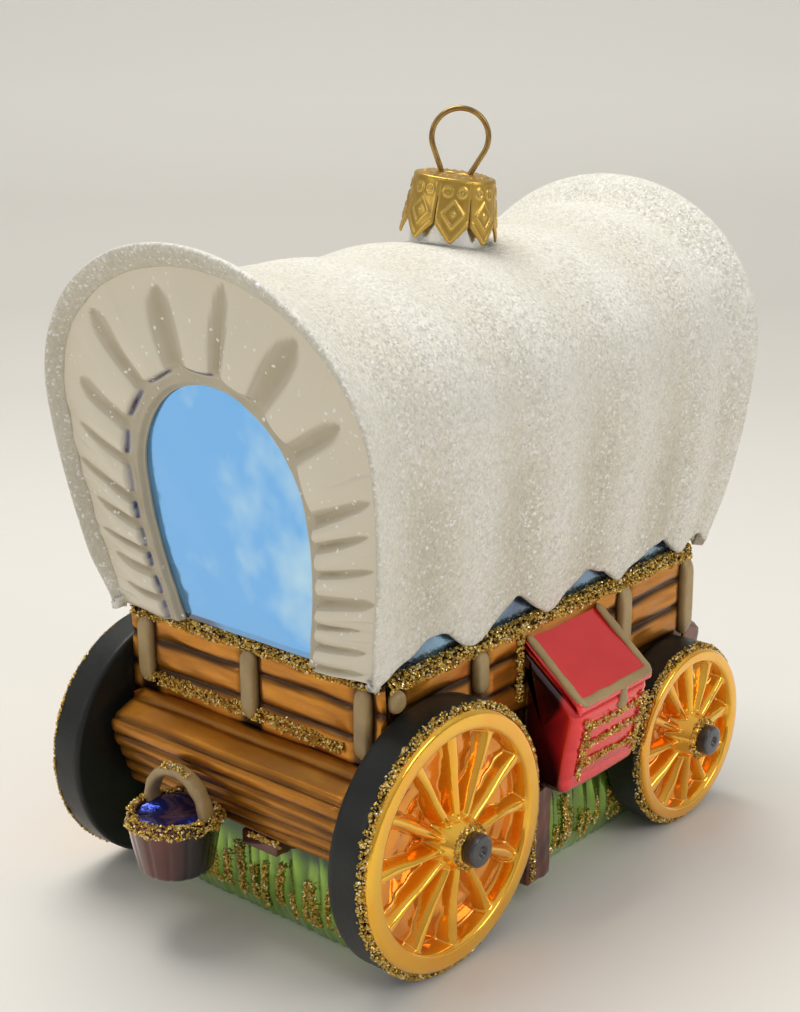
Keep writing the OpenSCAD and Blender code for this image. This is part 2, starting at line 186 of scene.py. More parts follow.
data = bpy.data.cameras.new("camera")
data.lens, data.sensor_width, data.clip_start, data.clip_end = 62.95, 36, 0.01, 20
camera = bpy.data.objects.new("camera", data)
forward = Vector((0.72402, 0.62493, -0.29209)).normalized()
right = Vector((0.65344, -0.75697, 0.0)).normalized()
right = (Matrix.Rotation(np.radians(-0.291), 3, -forward) @ right).normalized()
up = right.cross(forward)
camera.matrix_world = Matrix((right, up, -forward)).transposed().to_4x4()
camera.location = (-0.1934, -0.1623, 0.1296)
bpy.context.scene.collection.objects.link(camera)
bpy.context.scene.camera = camera

# The wagon cover: the top of the blow, moulded as cloth over six bows, with a thick rolled hem
# at each end and a scalloped lower hem. White paint, thick with fine iridescent glitter.
box_lo, box_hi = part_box("side_boards_right")
rail_z, half_w = box_hi.z / mm, -box_lo.y / mm
half_len = -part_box("tailgate")[0].x / mm
cover_lean, fold_h, hem_lift, hem_gap = np.radians(8.5), 1.0, 4.2, 0.4
cover_x, shoulder_z, side_share = half_len + 2.6, rail_z + 30, 0.3
hem_w, mid_w, rear_w, front_w = half_w + 0.8, half_w + 3.5, half_w + 5.7, half_w + 5.0
cover_mid_z, cover_end_z = 92.0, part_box("cover")[1].z / mm
bows = np.array([-1, -0.48, -0.06, 0.39, 0.82, 1.0])
roll_w, roll_top, face_in = 1.7, 3.2, 1.0
lip_rows, cover_middle_z, cloth_m, gathers_m = 13, 64, 0.0007, 0.0009


def box_mm(node):
    """The lowest and the highest corner of a CAD node, in mm."""
    return [np.array(c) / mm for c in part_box(node)]


def ease(x, low, high):
    """0 below low, 1 above high, and the smooth cubic 3t^2 - 2t^3 between."""
    t = np.clip((np.asarray(x, float) - low) / (high - low), 0, 1)
    return t * t * (3 - 2 * t)


def ripple(x, y, seed, waves=7, reach=1.0):
    """Smooth irregular waves: a sum of sines of random direction, length and phase, about -1 to 1."""
    r = np.random.default_rng(seed)
    out = 0.0
    for _ in range(waves):
        a, b = r.normal(0, reach, 2)
        out = out + np.sin(a * x + b * y + r.uniform(0, 6.28))
    return out / np.sqrt(waves) / 1.4


def between_bows(u):
    """0 on a bow and 1 midway between two bows, or less where two bows stand close together."""
    i = np.clip(np.searchsorted(bows, u, "right") - 1, 0, len(bows) - 2)
    gap = bows[i + 1] - bows[i]
    return np.minimum(1, gap / 0.4) * (1 - np.cos(2 * np.pi * (u - bows[i]) / gap)) / 2


def arch(u, v, in_w=0.0, in_top=0.0):
    """The cover's cross-section at u as (y, z): upright sides from the hem, drawn in at the foot, under half
    an ellipse. v runs from 0 at the right hem to 1 at the left. in_w and in_top draw in its sides and its top."""
    b = between_bows(u)
    flare = np.abs(u) ** 5
    w = mid_w + (np.where(u < 0, rear_w, front_w) - mid_w) * flare - fold_h * b
    top = cover_mid_z + (cover_end_z - cover_mid_z) * flare - fold_h * b
    hem = rail_z + hem_gap + hem_lift * b ** 0.7
    k = np.minimum(np.minimum(v, 1 - v) / side_share, 1)
    z_side = hem + (shoulder_z - hem) * k
    y_side = w - (w - hem_w) * (1 - np.sin(np.pi / 2 * (z_side - rail_z) / (shoulder_z - rail_z))) - in_w
    a = np.pi * (np.clip(v, side_share, 1 - side_share) - side_share) / (1 - 2 * side_share)
    on_side = k < 1
    y = np.where(on_side, np.where(v < 0.5, -y_side, y_side), -(w - in_w) * np.cos(a))
    z = np.where(on_side, z_side, shoulder_z + (top - in_top - shoulder_z) * np.sin(a))
    return y, z


def on_cover(u, y, z, deeper=0.0):
    """A cross-section point carried to its place along X, where the ends lean out with height."""
    return np.stack([u * (cover_x + np.tan(cover_lean) * (z - rail_z)) - np.sign(u) * deeper, y, z], -1)


v = np.linspace(0, 1, 141)[None, :]
u = np.linspace(-1, 1, 181)[:, None]
y, z = arch(u, v)
skin = on_cover(u, y, z)
lip = []
for end in (-1.0, 1.0):
    turn = np.linspace(0, 1, lip_rows + 1)[1:, None]
    y0, z0 = arch(np.array([[end]]), v)
    y1, z1 = arch(np.array([[end]]), v, roll_w, roll_top)
    outer, inner = on_cover(np.array([[end]]), y0, z0), on_cover(np.array([[end]]), y1, z1, face_in)
    s = ((1 - np.cos(np.pi * turn)) / 2)[..., None]
    at_foot = ease(np.minimum(v, 1 - v), -0.02, 0.09)
    bulge = (np.sin(np.pi * turn) * 1.5 * at_foot)[..., None] * np.array([end, 0, 0])
    swell = (np.sin(np.pi * turn) * 0.5 * at_foot)[..., None] * (outer - [0, 0, 66]) / 28 * [0, 1, 1]
    lip.append(outer * (1 - s) + inner * s + bulge + swell)
skin = np.concatenate([lip[0][::-1], skin, lip[1]])
rows = len(skin)
span = np.concatenate([np.full(lip_rows, -1), u[:, 0], np.full(lip_rows, 1)])[:, None]
out = skin - [0, 0, cover_middle_z]
out[..., 0] = 0
out /= np.linalg.norm(out, axis=-1, keepdims=True)
side = ease(np.abs(v - 0.5), 0.18, 0.34)
calm = 1 - ease(np.abs(span), 0.9, 1.0)
cloth = 0.22 * ripple(span * 14, v * 9, 3, 9) * calm + 0.3 * ripple(span * 20, v * 3, 5, 7) * side * calm
cloth -= 0.9 * np.exp(-((np.abs(span) - 0.86) / 0.06) ** 2) * (1 - side)
skin = skin + out * cloth[..., None]
wander = 0.45 * ripple(span * 26, 0 * v, 11, 6) * calm * ease(np.abs(v - 0.5), 0.38, 0.5)
skin[..., 2] += wander
half_rows = (rows - 1) / 2
from_middle = np.abs(np.arange(rows) - half_rows)[:, None]
under = 1 - 0.9 * ease(from_middle, half_rows - lip_rows, half_rows - 6)
tuck = np.stack([skin[:, 0] + under * step for step in ([0, 0.35, -0.25], [0, 1.2, 0.0], [0, 1.7, 0.9])], 1)
tuck2 = np.stack([skin[:, -1] + under * step for step in ([0, -1.7, 0.9], [0, -1.2, 0.0], [0, -0.35, -0.25])], 1)
skin = np.concatenate([tuck[:, ::-1], skin, tuck2], 1)
pad = lambda a: np.concatenate([a[:, :1]] * 3 + [a] + [a[:, -1:]] * 3, 1)
rolled = ease(from_middle, half_rows - 12, half_rows - 5)
# Painted shade: the valley mark darkens the valleys between the bows, most down the sides, and the rolled hems.
fold_shade = pad(np.maximum(between_bows(np.clip(span, -1, 0.9999)) * (0.35 + 0.65 * side), 0.85 * rolled) + 0 * v)
cover = loft("cover_cloth", skin, closed=False, valley=fold_shade)
thick = cover.modifiers.new("thickness", "SOLIDIFY")
thick.thickness, thick.offset = cloth_m, -1


def glitter_group():
    """Random facets in small cells: Flash is each cell's own random value, and Normal is the surface's normal
    tipped a random way in each cell by up to Tilt."""
    tree = bpy.data.node_groups.new("glitter_facets", "ShaderNodeTree")
    for word, kind in (("Vector", "NodeSocketVector"), ("Scale", "NodeSocketFloat"), ("Tilt", "NodeSocketFloat")):
        tree.interface.new_socket(word, in_out="INPUT", socket_type=kind)
    for word, kind in (("Flash", "NodeSocketFloat"), ("Tint", "NodeSocketColor"), ("Normal", "NodeSocketVector")):
        tree.interface.new_socket(word, in_out="OUTPUT", socket_type=kind)
    put = putter(tree)
    given = put("NodeGroupInput").outputs
    cells = put("ShaderNodeTexVoronoi", {"feature": "F1"}, Vector=given["Vector"], Scale=given["Scale"])
    part = put("ShaderNodeSeparateColor", {}, _0=cells.outputs["Color"])
    centred = put("ShaderNodeVectorMath", {"operation": "SUBTRACT"}, _0=cells.outputs["Color"], _1=(0.5, 0.5, 0.5))
    tipped = put("ShaderNodeVectorMath", {"operation": "SCALE"}, _0=centred.outputs[0], Scale=given["Tilt"])
    total = put("ShaderNodeVectorMath", {"operation": "ADD"}, _0=put("ShaderNodeNewGeometry").outputs["Normal"],
                _1=tipped.outputs[0])
    unit = put("ShaderNodeVectorMath", {"operation": "NORMALIZE"}, _0=total.outputs[0])
    put("NodeGroupOutput", {}, Flash=part.outputs[0], Tint=cells.outputs["Color"], Normal=unit.outputs[0])
    return tree


def paint_group():
    """Hand-laid paint: Shade is slow uneven cover from soft noise, and Height is fine brush and spray texture."""
    tree = bpy.data.node_groups.new("hand_paint", "ShaderNodeTree")
    for word, kind in (("Vector", "NodeSocketVector"), ("Scale", "NodeSocketFloat")):
        tree.interface.new_socket(word, in_out="INPUT", socket_type=kind)
    for word in ("Shade", "Height"):
        tree.interface.new_socket(word, in_out="OUTPUT", socket_type="NodeSocketFloat")
    put = putter(tree)
    given = put("NodeGroupInput").outputs
    slow = put("ShaderNodeTexNoise", {}, Vector=given["Vector"], Scale=given["Scale"], Detail=4.0, Roughness=0.55)
    fast = put("ShaderNodeMath", {"operation": "MULTIPLY"}, _0=given["Scale"], _1=7.0)
    fine = put("ShaderNodeTexNoise", {}, Vector=given["Vector"], Scale=fast.outputs[0], Detail=3.0)
    put("NodeGroupOutput", {}, Shade=straight(put, slow.outputs["Fac"], 0.3, 0.7), Height=fine.outputs["Fac"])
    return tree


glitter, hand_paint = glitter_group(), paint_group()


def add_group(put, tree, **inputs):
    """The group placed in a material, reading the piece's own Object coordinates."""
    n = put("ShaderNodeGroup", {"node_tree": tree})
    return put(n, {}, Vector=put("ShaderNodeTexCoord").outputs["Object"], **inputs).outputs


def bump(put, height, strength, distance, normal=None):
    """A Bump node's normal for this height."""
    extra = {"Normal": normal} if normal is not None else {}
    return put("ShaderNodeBump", {}, Height=height, Strength=strength, Distance=distance, **extra).outputs[0]


def painted(name, scale, light, shaded, relief, dark_colour=None, word="burn", **finish):
    """Hand-laid paint or lacquer: light to shaded with the slow noise, and over to a dark colour where the piece's
    dark mark is high; on most pieces that mark is painted shade.
    relief is the strength and the depth in metres of its brush texture; finish sets the other inputs of the BSDF."""
    mat, bsdf, put = shader(name)
    paint = add_group(put, hand_paint, Scale=scale)
    base = blend_colour(put, paint["Shade"], light, shaded)
    if dark_colour:
        base = blend_colour(put, mark(put, word), base, dark_colour)
    put(bsdf, Base_Color=base, Normal=bump(put, paint["Height"], *relief), **finish)
    return mat


def dress(thing, mat, node, body):
    """Gives a piece its material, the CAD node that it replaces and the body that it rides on."""
    thing.data.materials.append(mat)
    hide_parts(node)
    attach(thing, body)


def all_round(n):
    """n angles round a circle, as a row."""
    return np.linspace(0, 2 * np.pi, n + 1)[None, :-1]


def run_length(p):
    """How far along a chain of points each of them lies."""
    return np.concatenate([[0], np.cumsum(np.linalg.norm(np.diff(p, axis=0), axis=1))])


def at_length(t, s, p):
    """The values p, one row for each length s, read at the lengths t."""
    return np.stack([np.interp(t, s, column) for column in p.T], 1)


mat, bsdf, put = shader("diamond_dust_white")
paint = add_group(put, hand_paint, Scale=90.0)
dust = add_group(put, glitter, Scale=3000.0, Tilt=0.62)
# The valley mark is painted shade, taking the white towards beige-grey in the folds and on the rolled hems.
valley = mark(put, "valley")
shade = put("ShaderNodeMath", {"operation": "MULTIPLY"}, _0=valley, _1=0.75)
shade = put("ShaderNodeMath", {"operation": "MULTIPLY_ADD"}, _0=paint["Shade"], _1=0.25,
            _2=shade.outputs[0]).outputs[0]
base = blend_colour(put, shade, (0.845, 0.825, 0.735), (0.64, 0.595, 0.475))
grain = straight(put, dust["Flash"], 0.0, 1.0, 0.87, 1.06)
base = put("ShaderNodeVectorMath", {"operation": "SCALE"}, _0=base, Scale=grain).outputs[0]
flash = straight(put, dust["Flash"], 0.9, 0.93)
base = blend_colour(put, flash, base, blend_colour(put, 0.10, (0.97, 0.96, 0.94), dust["Tint"]))
put(bsdf, Base_Color=base, Roughness=straight(put, flash, 0, 1, 0.8, 0.22),
    Normal=bump(put, paint["Height"], 0.4, 0.0004, dust["Normal"]))
dress(cover, mat, "cover", "glass")

# The gathered end walls: cloth drawn in round the opening in nineteen puffed gathers, moulded in the glass.
# Cream satin paint, with taupe brushed into the valleys and round the opening. A crescent of silvered glass
# is left bare at the inner end of each puff, painted near black with the shade that falls there.
open_w, open_foot, open_z, open_top = 15.2, 12.1, 20.0, 36.6
gathers_count, puff = 19, 1.25


def opening(v, grow=0.0):
    """The egg-shaped opening as (y, height up the wall), from its right foot over the top to its left foot."""
    k = np.minimum(np.minimum(v, 1 - v) / side_share, 1)
    w, foot = open_w + grow, open_foot + grow
    a = np.pi * (np.clip(v, side_share, 1 - side_share) - side_share) / (1 - 2 * side_share)
    on_side = k < 1
    y = np.where(on_side, np.sign(v - 0.5) * (foot + (w - foot) * np.sin(np.pi / 2 * k)), -w * np.cos(a))
    return y, np.where(on_side, open_z * k, open_z + (open_top + grow - open_z) * np.sin(a))


def on_wall(end, y, up_wall, proud):
    """A point of an end wall in its leaning plane, proud of the cover's end by so much (negative is inside)."""
    c, s = np.cos(cover_lean), np.sin(cover_lean)
    return np.stack([end * (cover_x + up_wall * s + proud * c), y + 0 * proud, rail_z + up_wall * c - proud * s], -1)


mat, bsdf, put = shader("cream_satin")
paint = add_group(put, hand_paint, Scale=160.0)
dust = add_group(put, glitter, Scale=2600.0, Tilt=1.0)
taupe = put("ShaderNodeMath", {"operation": "MULTIPLY"}, _0=mark(put, "taupe"),
            _1=straight(put, paint["Shade"], 0, 1, 0.75, 1.0)).outputs[0]
base = blend_colour(put, taupe, (0.79, 0.72, 0.575), (0.49, 0.42, 0.29))
base = blend_colour(put, mark(put, "shadow"), base, (0.37, 0.32, 0.24))
# Painted shade: the bare crescents are mirror-like but given a near-black blue.
base = blend_colour(put, mark(put, "bare"), base, (0.10, 0.11, 0.19))
flash = straight(put, dust["Flash"], 0.988, 0.992)
base = blend_colour(put, flash, base, (0.9, 0.88, 0.82))
put(bsdf, Base_Color=base, Roughness=straight(put, mark(put, "bare"), 0, 1, 0.42, 0.12), Metallic=mark(put, "bare"),
    Normal=bump(put, paint["Height"], 0.12, 0.0003))
cream = mat

for end, word in ((-1.0, "rear"), (1.0, "front")):
    t = np.linspace(0, 1, gathers_count * 26 + 1)[None, :]
    r = np.linspace(0, 1, 66)[:, None] ** 1.4
    yi, si = opening(t)
    yo, zo = arch(np.array([[end]]), t - 0.05 * np.sin(2 * np.pi * t), roll_w - 0.2, roll_top - 0.2)
    so = (zo - rail_z) / np.cos(cover_lean)
    phase = gathers_count * t + 0.18 * ripple(t * 40, 0 * t, 21, 5)
    curl = 0.12 * np.sin(np.pi * (t - 0.5)) * r
    k = (phase + curl) % 1.0
    away = np.minimum(k, 1 - k) * 2
    number, valley = np.floor(phase + curl), np.floor(phase + curl + 0.5)
    reach = 0.83 + 0.07 * np.sin(valley * 2.4) + 0.05 * np.sin(valley * 5.1)
    crown = np.clip(np.sin(np.pi * k), 0, 1) ** 0.6
    edge = 0.115 + 0.05 * (1 - np.clip(np.sin(np.pi * k), 0, 1) ** 0.6)
    swell = ease(r, edge, edge + 0.075) * (1 - 0.92 * ease(r, 0.35, reach + 0.25))
    depth = puff * (crown * swell) - face_in - 0.9 * (1 - ease(r, 0.0, 0.05)) + 0.08 * ripple(t * 60, r * 6, 8, 6)
    valley_width = 0.36 - 0.14 * r + 0.06 * ripple(r * 6, valley * 2.0, 41, 5)
    valley_width = valley_width * np.sqrt(np.clip(1 - (r / (reach + 0.05)) ** 7, 0.01, 1))
    taupe = np.exp(-(away / valley_width) ** 6) * (1 - ease(r, reach + 0.02, reach + 0.06))
    taupe = np.maximum(taupe, 1 - ease(r, edge - 0.02, edge + 0.015))
    shadow = 0.5 * np.exp(-((away - valley_width - 0.02) / 0.06) ** 2)
    shadow = shadow * (1 - ease(r, reach - 0.1, reach + 0.03)) * ease(r, 0.1, 0.2)
    # A crescent of bare glass at each puff's inner end, dark with painted shade.
    bare = 1.2 * np.exp(-((r - edge - 0.024) / 0.019) ** 2)
    bare = bare * ease(np.sin(np.pi * k), 0.3, 0.62) * (0.8 + 0.2 * np.sin(number * 3.7))
    wall = on_wall(end, yi + (yo - yi) * r, si + (so - si) * r, depth)
    gathers = loft(word + "_gathered_cloth", wall, closed=False, taupe=taupe, shadow=shadow, bare=np.clip(bare, 0, 1))
    if gathers.data.polygons[len(gathers.data.polygons) // 2].normal.x * end < 0:
        gathers.data.flip_normals()
    thick = gathers.modifiers.new("thickness", "SOLIDIFY")
    thick.thickness, thick.offset = gathers_m, -1
    dress(gathers, cream, word + "_gathers", "glass")

# The panes of sky seen through the two openings: flat glass between the gathers, silvered inside.
# Clear blue lacquer outside, so it mirrors the room in blue, with pale cloud-like patches painted in as reflections.
mat, bsdf, put = shader("sky_lacquer")
paint = add_group(put, hand_paint, Scale=45.0)
# Painted reflection: soft pale patches in the blue, laid out by the slow noise.
painted_reflection = straight(put, paint["Shade"], 0.62, 1.0)
base = blend_colour(put, painted_reflection, (0.17, 0.50, 1.0), (0.50, 0.78, 1.0))
# Painted shade: the pane goes dark at its rim, where it sinks behind the gathers.
edge = mark(put, "rim")
base = blend_colour(put, edge, base, (0.09, 0.11, 0.17))
put(bsdf, Base_Color=base, Roughness=0.13, Metallic=0.9, Coat_Weight=1.0, Coat_Roughness=0.04,
    Normal=bump(put, paint["Height"], 0.08, 0.0004))
for end, word in ((-1.0, "rear"), (1.0, "front")):
    t = np.linspace(0, 1, 121)[None, :]
    y, s = opening(t, 0.9)
    foot = np.linspace(1, -1, 31)[None, 1:-1] * y[:, -1:]
    y, s = np.concatenate([y, foot], 1), np.concatenate([s, 0 * foot], 1)
    r = np.concatenate([np.linspace(0.02, 0.9, 22), np.linspace(0.91, 1.0, 14)])[:, None]
    yy, ss = y * r, 20 + (s - 20) * r
    depth = -2.3 + 0.45 * (1 - r ** 2) + 0.10 * ripple(yy * 0.22, ss * 0.22, 4, 6)
    front = on_wall(end, yy, ss, depth)
    back = on_wall(end, yy[::-1], ss[::-1], -3.2 + 0 * depth[::-1])
    # Painted shade at the pane's rim, heavier where y is over 4 mm.
    rim = ease(r, 0.945, 0.955) * (0.35 + 0.65 * ease(y, 4, 8)) + 0 * y
    pane = loft(word + "_sky_pane", np.concatenate([front, back]), rim=np.concatenate([rim, rim[::-1]]))
    dress(pane, mat, word + "_pane", "glass")

# The blue glass that shows below the scalloped hem, and the bare neck of the blow under the cap.
# The strip is silvered under blue lacquer, dark with violet where the cover shades it; the neck is only silvered.
lining = painted("lining_lacquer", 140.0, (0.22, 0.40, 0.58), (0.05, 0.06, 0.14), (0.25, 0.0004),
                 Roughness=0.18, Metallic=0.85, Coat_Weight=0.8, Coat_Roughness=0.05)
bare_glass = painted("bare_silvered_glass", 200.0, (0.80, 0.80, 0.79), (0.55, 0.54, 0.52), (0.15, 0.0003),
                     Roughness=0.2, Metallic=0.9, Coat_Weight=1.0, Coat_Roughness=0.03)
for node, mat in (("cover_lining", lining), ("glass_neck", bare_glass)):
    frame["nodes"][node].data.materials.clear()
    frame["nodes"][node].data.materials.append(mat)

# The board walls: side boards, tailgate and front board, moulded as three rough boards with rounded edges.
# Clear brown lacquer over silvering, airbrushed nearly black in the grooves and along the rail, with painted
# shade beside the posts and on the wall below the boards.
board_h, wall_t = 4.4, 1.8
wall_foot = box_lo.z / mm
panel_foot = rail_z - 3 * board_h


def along_outline(points, step):
    """Evenly spaced points on a closed outline, and their outward directions: the tangent turned a quarter circle."""
    p = np.concatenate([points, points[:1]])
    s = run_length(p)
    t = np.linspace(0, s[-1], int(s[-1] / step) + 1)[:-1]
    q = at_length(t, s, p)
    tangent = np.roll(q, -1, 0) - np.roll(q, 1, 0)
    tangent /= np.linalg.norm(tangent, axis=1, keepdims=True) + 1e-9
    away = np.stack([tangent[:, 1], -tangent[:, 0]], 1)
    area = (q[:, 0] * np.roll(q[:, 1], -1) - np.roll(q[:, 0], -1) * q[:, 1]).sum()
    return q, away * np.sign(area)


def rectangle(low, high):
    """The corners of a rectangle, from its lowest and its highest corner."""
    return [[low[0], low[1]], [high[0], low[1]], [high[0], high[1]], [low[0], high[1]]]


def soften(points, radius, steps=5):
    """The outline with each corner replaced by the curve (1-t)^2 a + 2t(1-t) corner + t^2 b, where a and b are
    a radius away from it along the two sides."""
    p = np.asarray(points, float)
    before, after = np.roll(p, 1, 0) - p, np.roll(p, -1, 0) - p
    reach = lambda d: np.minimum(0.45, radius / np.linalg.norm(d, axis=1, keepdims=True)) * d
    a, b = (p + reach(before))[:, None], (p + reach(after))[:, None]
    t = np.linspace(0, 1, steps)[None, :, None]
    return ((1 - t) ** 2 * a + 2 * t * (1 - t) * p[:, None] + t ** 2 * b).reshape(-1, 2)


def carried(outline, half, radius, step, swell=None):
    """A closed outline of (out, height) carried along its width from -half to half, and drawn in towards its middle
    near both ends along a quarter circle of this radius. swell(out, height, w) moves each point outwards.
    Returns out, height and w as (rings, points) arrays."""
    q, away = outline
    turn = np.radians(np.linspace(0, 90, 7))
    tip = half - radius + radius * np.sin(turn[::-1])
    mid = np.linspace(-(half - radius), half - radius, max(3, int((2 * half - 2 * radius) / step)))
    w = np.concatenate([-tip, mid[1:-1], tip[::-1]])[:, None]
    over = np.clip(np.abs(w) - (half - radius), 0, radius)
    draw = radius - np.sqrt(np.maximum(radius ** 2 - over ** 2, 0))
    out, height = q[None, :, 0] - away[None, :, 0] * draw, q[None, :, 1] - away[None, :, 1] * draw
    if swell is not None:
        d = swell(out, height, w) * (1 - draw / radius)
        out, height = out + away[None, :, 0] * d, height + away[None, :, 1] * d
    return out, height, w + 0 * out


def lacquer_wood():
    """Brown lacquer: amber in the middle of each board, near black where the piece's dark mark is high, with streaks.
    """
    mat, bsdf, put = shader("clear_brown_lacquer")
    paint = add_group(put, hand_paint, Scale=130.0)
    stretch = put("ShaderNodeMapping", {}, Vector=put("ShaderNodeTexCoord").outputs["Object"],
                  Scale=(120.0, 120.0, 900.0))
    streak = put("ShaderNodeTexNoise", {}, Vector=stretch.outputs[0], Scale=1.0, Detail=3.0).outputs["Fac"]
    burn = mark(put, "burn")
    warm = blend_colour(put, straight(put, streak, 0.35, 0.65), (0.71, 0.29, 0.024), (0.40, 0.142, 0.009))
    warm = blend_colour(put, paint["Shade"], warm, (0.51, 0.19, 0.014))
    put(bsdf, Base_Color=blend_colour(put, burn, warm, (0.032, 0.014, 0.007)),
        Roughness=straight(put, streak, 0.2, 0.8, 0.26, 0.4),
        Metallic=0.85, Coat_Weight=0.3, Coat_Roughness=0.08, Normal=bump(put, streak, 0.25, 0.0003))
    return mat


brown = lacquer_wood()
wall_outline = along_outline(np.array([[0, rail_z], [0, wall_foot], [-wall_t, wall_foot], [-wall_t, rail_z]]), 0.22)
wheel_boxes = {w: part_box("tyre_" + w) for w in ("rear_right", "rear_left", "front_right", "front_left")}
side_step = (half_len - 1.4 - 0.6) / 2
end_step = half_w - 1.4 - 2
post_w, post_t, post_top = 2.8, 1.2, rail_z - 1.2
for word, node, half, place, posts in [
    ("right_side_boards", "side_boards_right", half_len - wall_t, lambda o, z, w: (w, -half_w - o, z),
     (-2, -1, 1, 2)),
    ("left_side_boards", "side_boards_left", half_len - wall_t, lambda o, z, w: (w, half_w + o, z), (-2, -1, 1, 2)),
    ("tailgate_boards", "tailgate", half_w, lambda o, z, w: (-half_len - o, w, z), (-1, 0, 1)),
    ("front_boards", "front_board", half_w, lambda o, z, w: (half_len + o, w, z), (-1, 0, 1)),
]:
    step = side_step if "side" in word else end_step
    near_post = lambda w: np.minimum.reduce([np.abs(w - i * step) for i in posts])

    def swell(out, height, w):
        """Each board bulges by 0.45 (1 - (2f - 1)^4) across its height f, less near a post, and wanders a little."""
        f = ((rail_z - height) / board_h) % 1.0
        on_board = (height > panel_foot) & (out > -0.3)
        wave = 0.10 * ripple(w * 0.5, height * 1.3, 31, 7)
        return np.where(on_board, 0.45 * (1 - np.abs(2 * f - 1) ** 4) * ease(near_post(w), 1.3, 2.6) - 0.05 + wave, 0)

    out, height, w = carried(wall_outline, half, 0.5, 0.5, swell)
    f = ((rail_z + 0.35 * ripple(w * 0.3, 0, 5, 4) - height) / board_h) % 1.0
    # Dark mark: airbrushed dark in the grooves and along the rail, painted shade beside each post and on the wall
    # below the boards.
    burn = np.maximum(ease(np.abs(2 * f - 1), 0.45, 0.95), 1 - ease(near_post(w), 1.4, 2.6)) * 0.95
    burn = np.where(height > rail_z - 0.9, 1.0, np.where(height < panel_foot, 0.8, burn))
    wall = loft(word, np.stack([a + 0 * w for a in place(out, height, w)], -1), burn=burn)
    dress(wall, brown, node, "glass")

# The upright posts on all four walls: short round-ended strips that stand out of the boards.
# Opaque tan paint laid on by hand, so its edge wanders.
tan = painted("matt_tan_paint", 210.0, (0.46, 0.32, 0.135), (0.33, 0.22, 0.09), (0.2, 0.0003),
              (0.16, 0.09, 0.035), "rim", Roughness=0.42, Coat_Weight=0.25, Coat_Roughness=0.2)


def domed_pills(low, high, at, width, thick, place, seed):
    """The rings of round-ended strips, each a stadium outline scaled by rho from its middle, and standing
    thick (1 - rho^6)^0.5 proud. low, high and at are each strip's foot, top and place along the wall."""
    rho = np.sin(np.radians(np.linspace(4, 90, 12)))[:, None]
    a = all_round(48)
    strips = []
    for n, (z0, z1, w0) in enumerate(zip(low, high, at)):
        rough = 1 + 0.06 * ripple(np.cos(a) * 2, np.sin(a) * 2 + n, seed, 5)
        r = width / 2
        span = max((z1 - z0) / 2 - r, 0.1)
        w = w0 + r * rho * np.cos(a) * rough
        z = (z0 + z1) / 2 + rho * (r * np.sin(a) * rough + span * np.tanh(6 * np.sin(a)))
        o = thick * (1 - rho ** 6 * 0.999) ** 0.5 + 0 * a
        o = np.concatenate([o, np.full_like(o[:1], -0.3)])
        w, z = np.concatenate([w, w[-1:]]), np.concatenate([z, z[-1:]])
        strips.append(np.stack([c + 0 * w for c in place(o, z, w)], -1))
    return strips


for word, node, place, at, tyres in [
    ("right_posts", "side_posts_right", lambda o, z, w: (w, -half_w - o, z), np.array([-2, -1, 1, 2]) * side_step,
     ("rear_right", "front_right")),
    ("left_posts", "side_posts_left", lambda o, z, w: (w, half_w + o, z), np.array([-2, -1, 1, 2]) * side_step,
     ("rear_left", "front_left")),
    ("tailgate_strips", "tailgate_posts", lambda o, z, w: (-half_len - o, w, z), np.array([-1, 0, 1]) * end_step, ()),
    ("front_strips", "front_posts", lambda o, z, w: (half_len + o, w, z), np.array([-1, 0, 1]) * end_step, ()),
]:
    low = np.full(len(at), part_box(node)[0].z / mm)
    for t in tyres:
        lo, hi = wheel_boxes[t]
        cx, r = (lo.x + hi.x) / 2 / mm, (hi.x - lo.x) / 2 / mm
        off = np.clip(np.abs(at - cx) - post_w / 2 * 0.6, 0, r)
        low = np.where(np.abs(at - cx) < r, np.maximum(low, r + np.sqrt(r ** 2 - off ** 2) + 0.1), low)
    strips = domed_pills(low, np.full(len(at), post_top), at, post_w, post_t, place, 17)
    for n, rings in enumerate(strips):
        strip = loft(f"{word}_{n}", rings, rim=np.concatenate([np.zeros(9), [0.1, 0.5, 1, 1]])[:, None])
        dress(strip, tan, node, "glass")

# The feed box across the tailgate and the foot box across the front: six-sided troughs of planks.
# The top plank slopes outwards and the rest wrap under. The foot box is a redder, plainer brown.
feed_lo, feed_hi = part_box("feed_box")
trough_len, trough_top, trough_half = (-half_len * mm - feed_lo.x) / mm, feed_hi.z / mm, feed_hi.y / mm
trough = np.array([[0, trough_top], [trough_len - 0.4, trough_top - 2.8], [trough_len, trough_top - 4],
                   [trough_len - 0.3, trough_top - 6.4], [trough_len - 3.6, wall_foot + 0.9], [0, wall_foot]])
outline = along_outline(soften(trough, 0.9), 0.2)
corner = outline[0]
length_down = run_length(corner)
start = np.argmin(np.linalg.norm(corner - [trough_len - 0.5, trough_top - 2.6], axis=1))
plank_joints = (length_down[start] + np.array([0.0, 3.0, 5.6, 8.0, 10.3, 12.6]))
gap = np.min(np.abs(length_down[None, :] - plank_joints[:, None]), 0)
top_line = np.abs(length_down - length_down[start] * 0.42)


def planks(out, height, w):
    """Grooves between planks, 0.55 exp(-(d/0.5)^2) deep at the distance d along the outline, with a slow wander."""
    grooves = -0.55 * np.exp(-(gap / 0.5) ** 2)[None, :] - 0.18 * np.exp(-(top_line / 0.5) ** 2)[None, :]
    return grooves + 0.16 * ripple(w * 0.22, height * 0.8, 44, 7)


out, height, w = carried(outline, trough_half, 1.6, 0.6, planks)
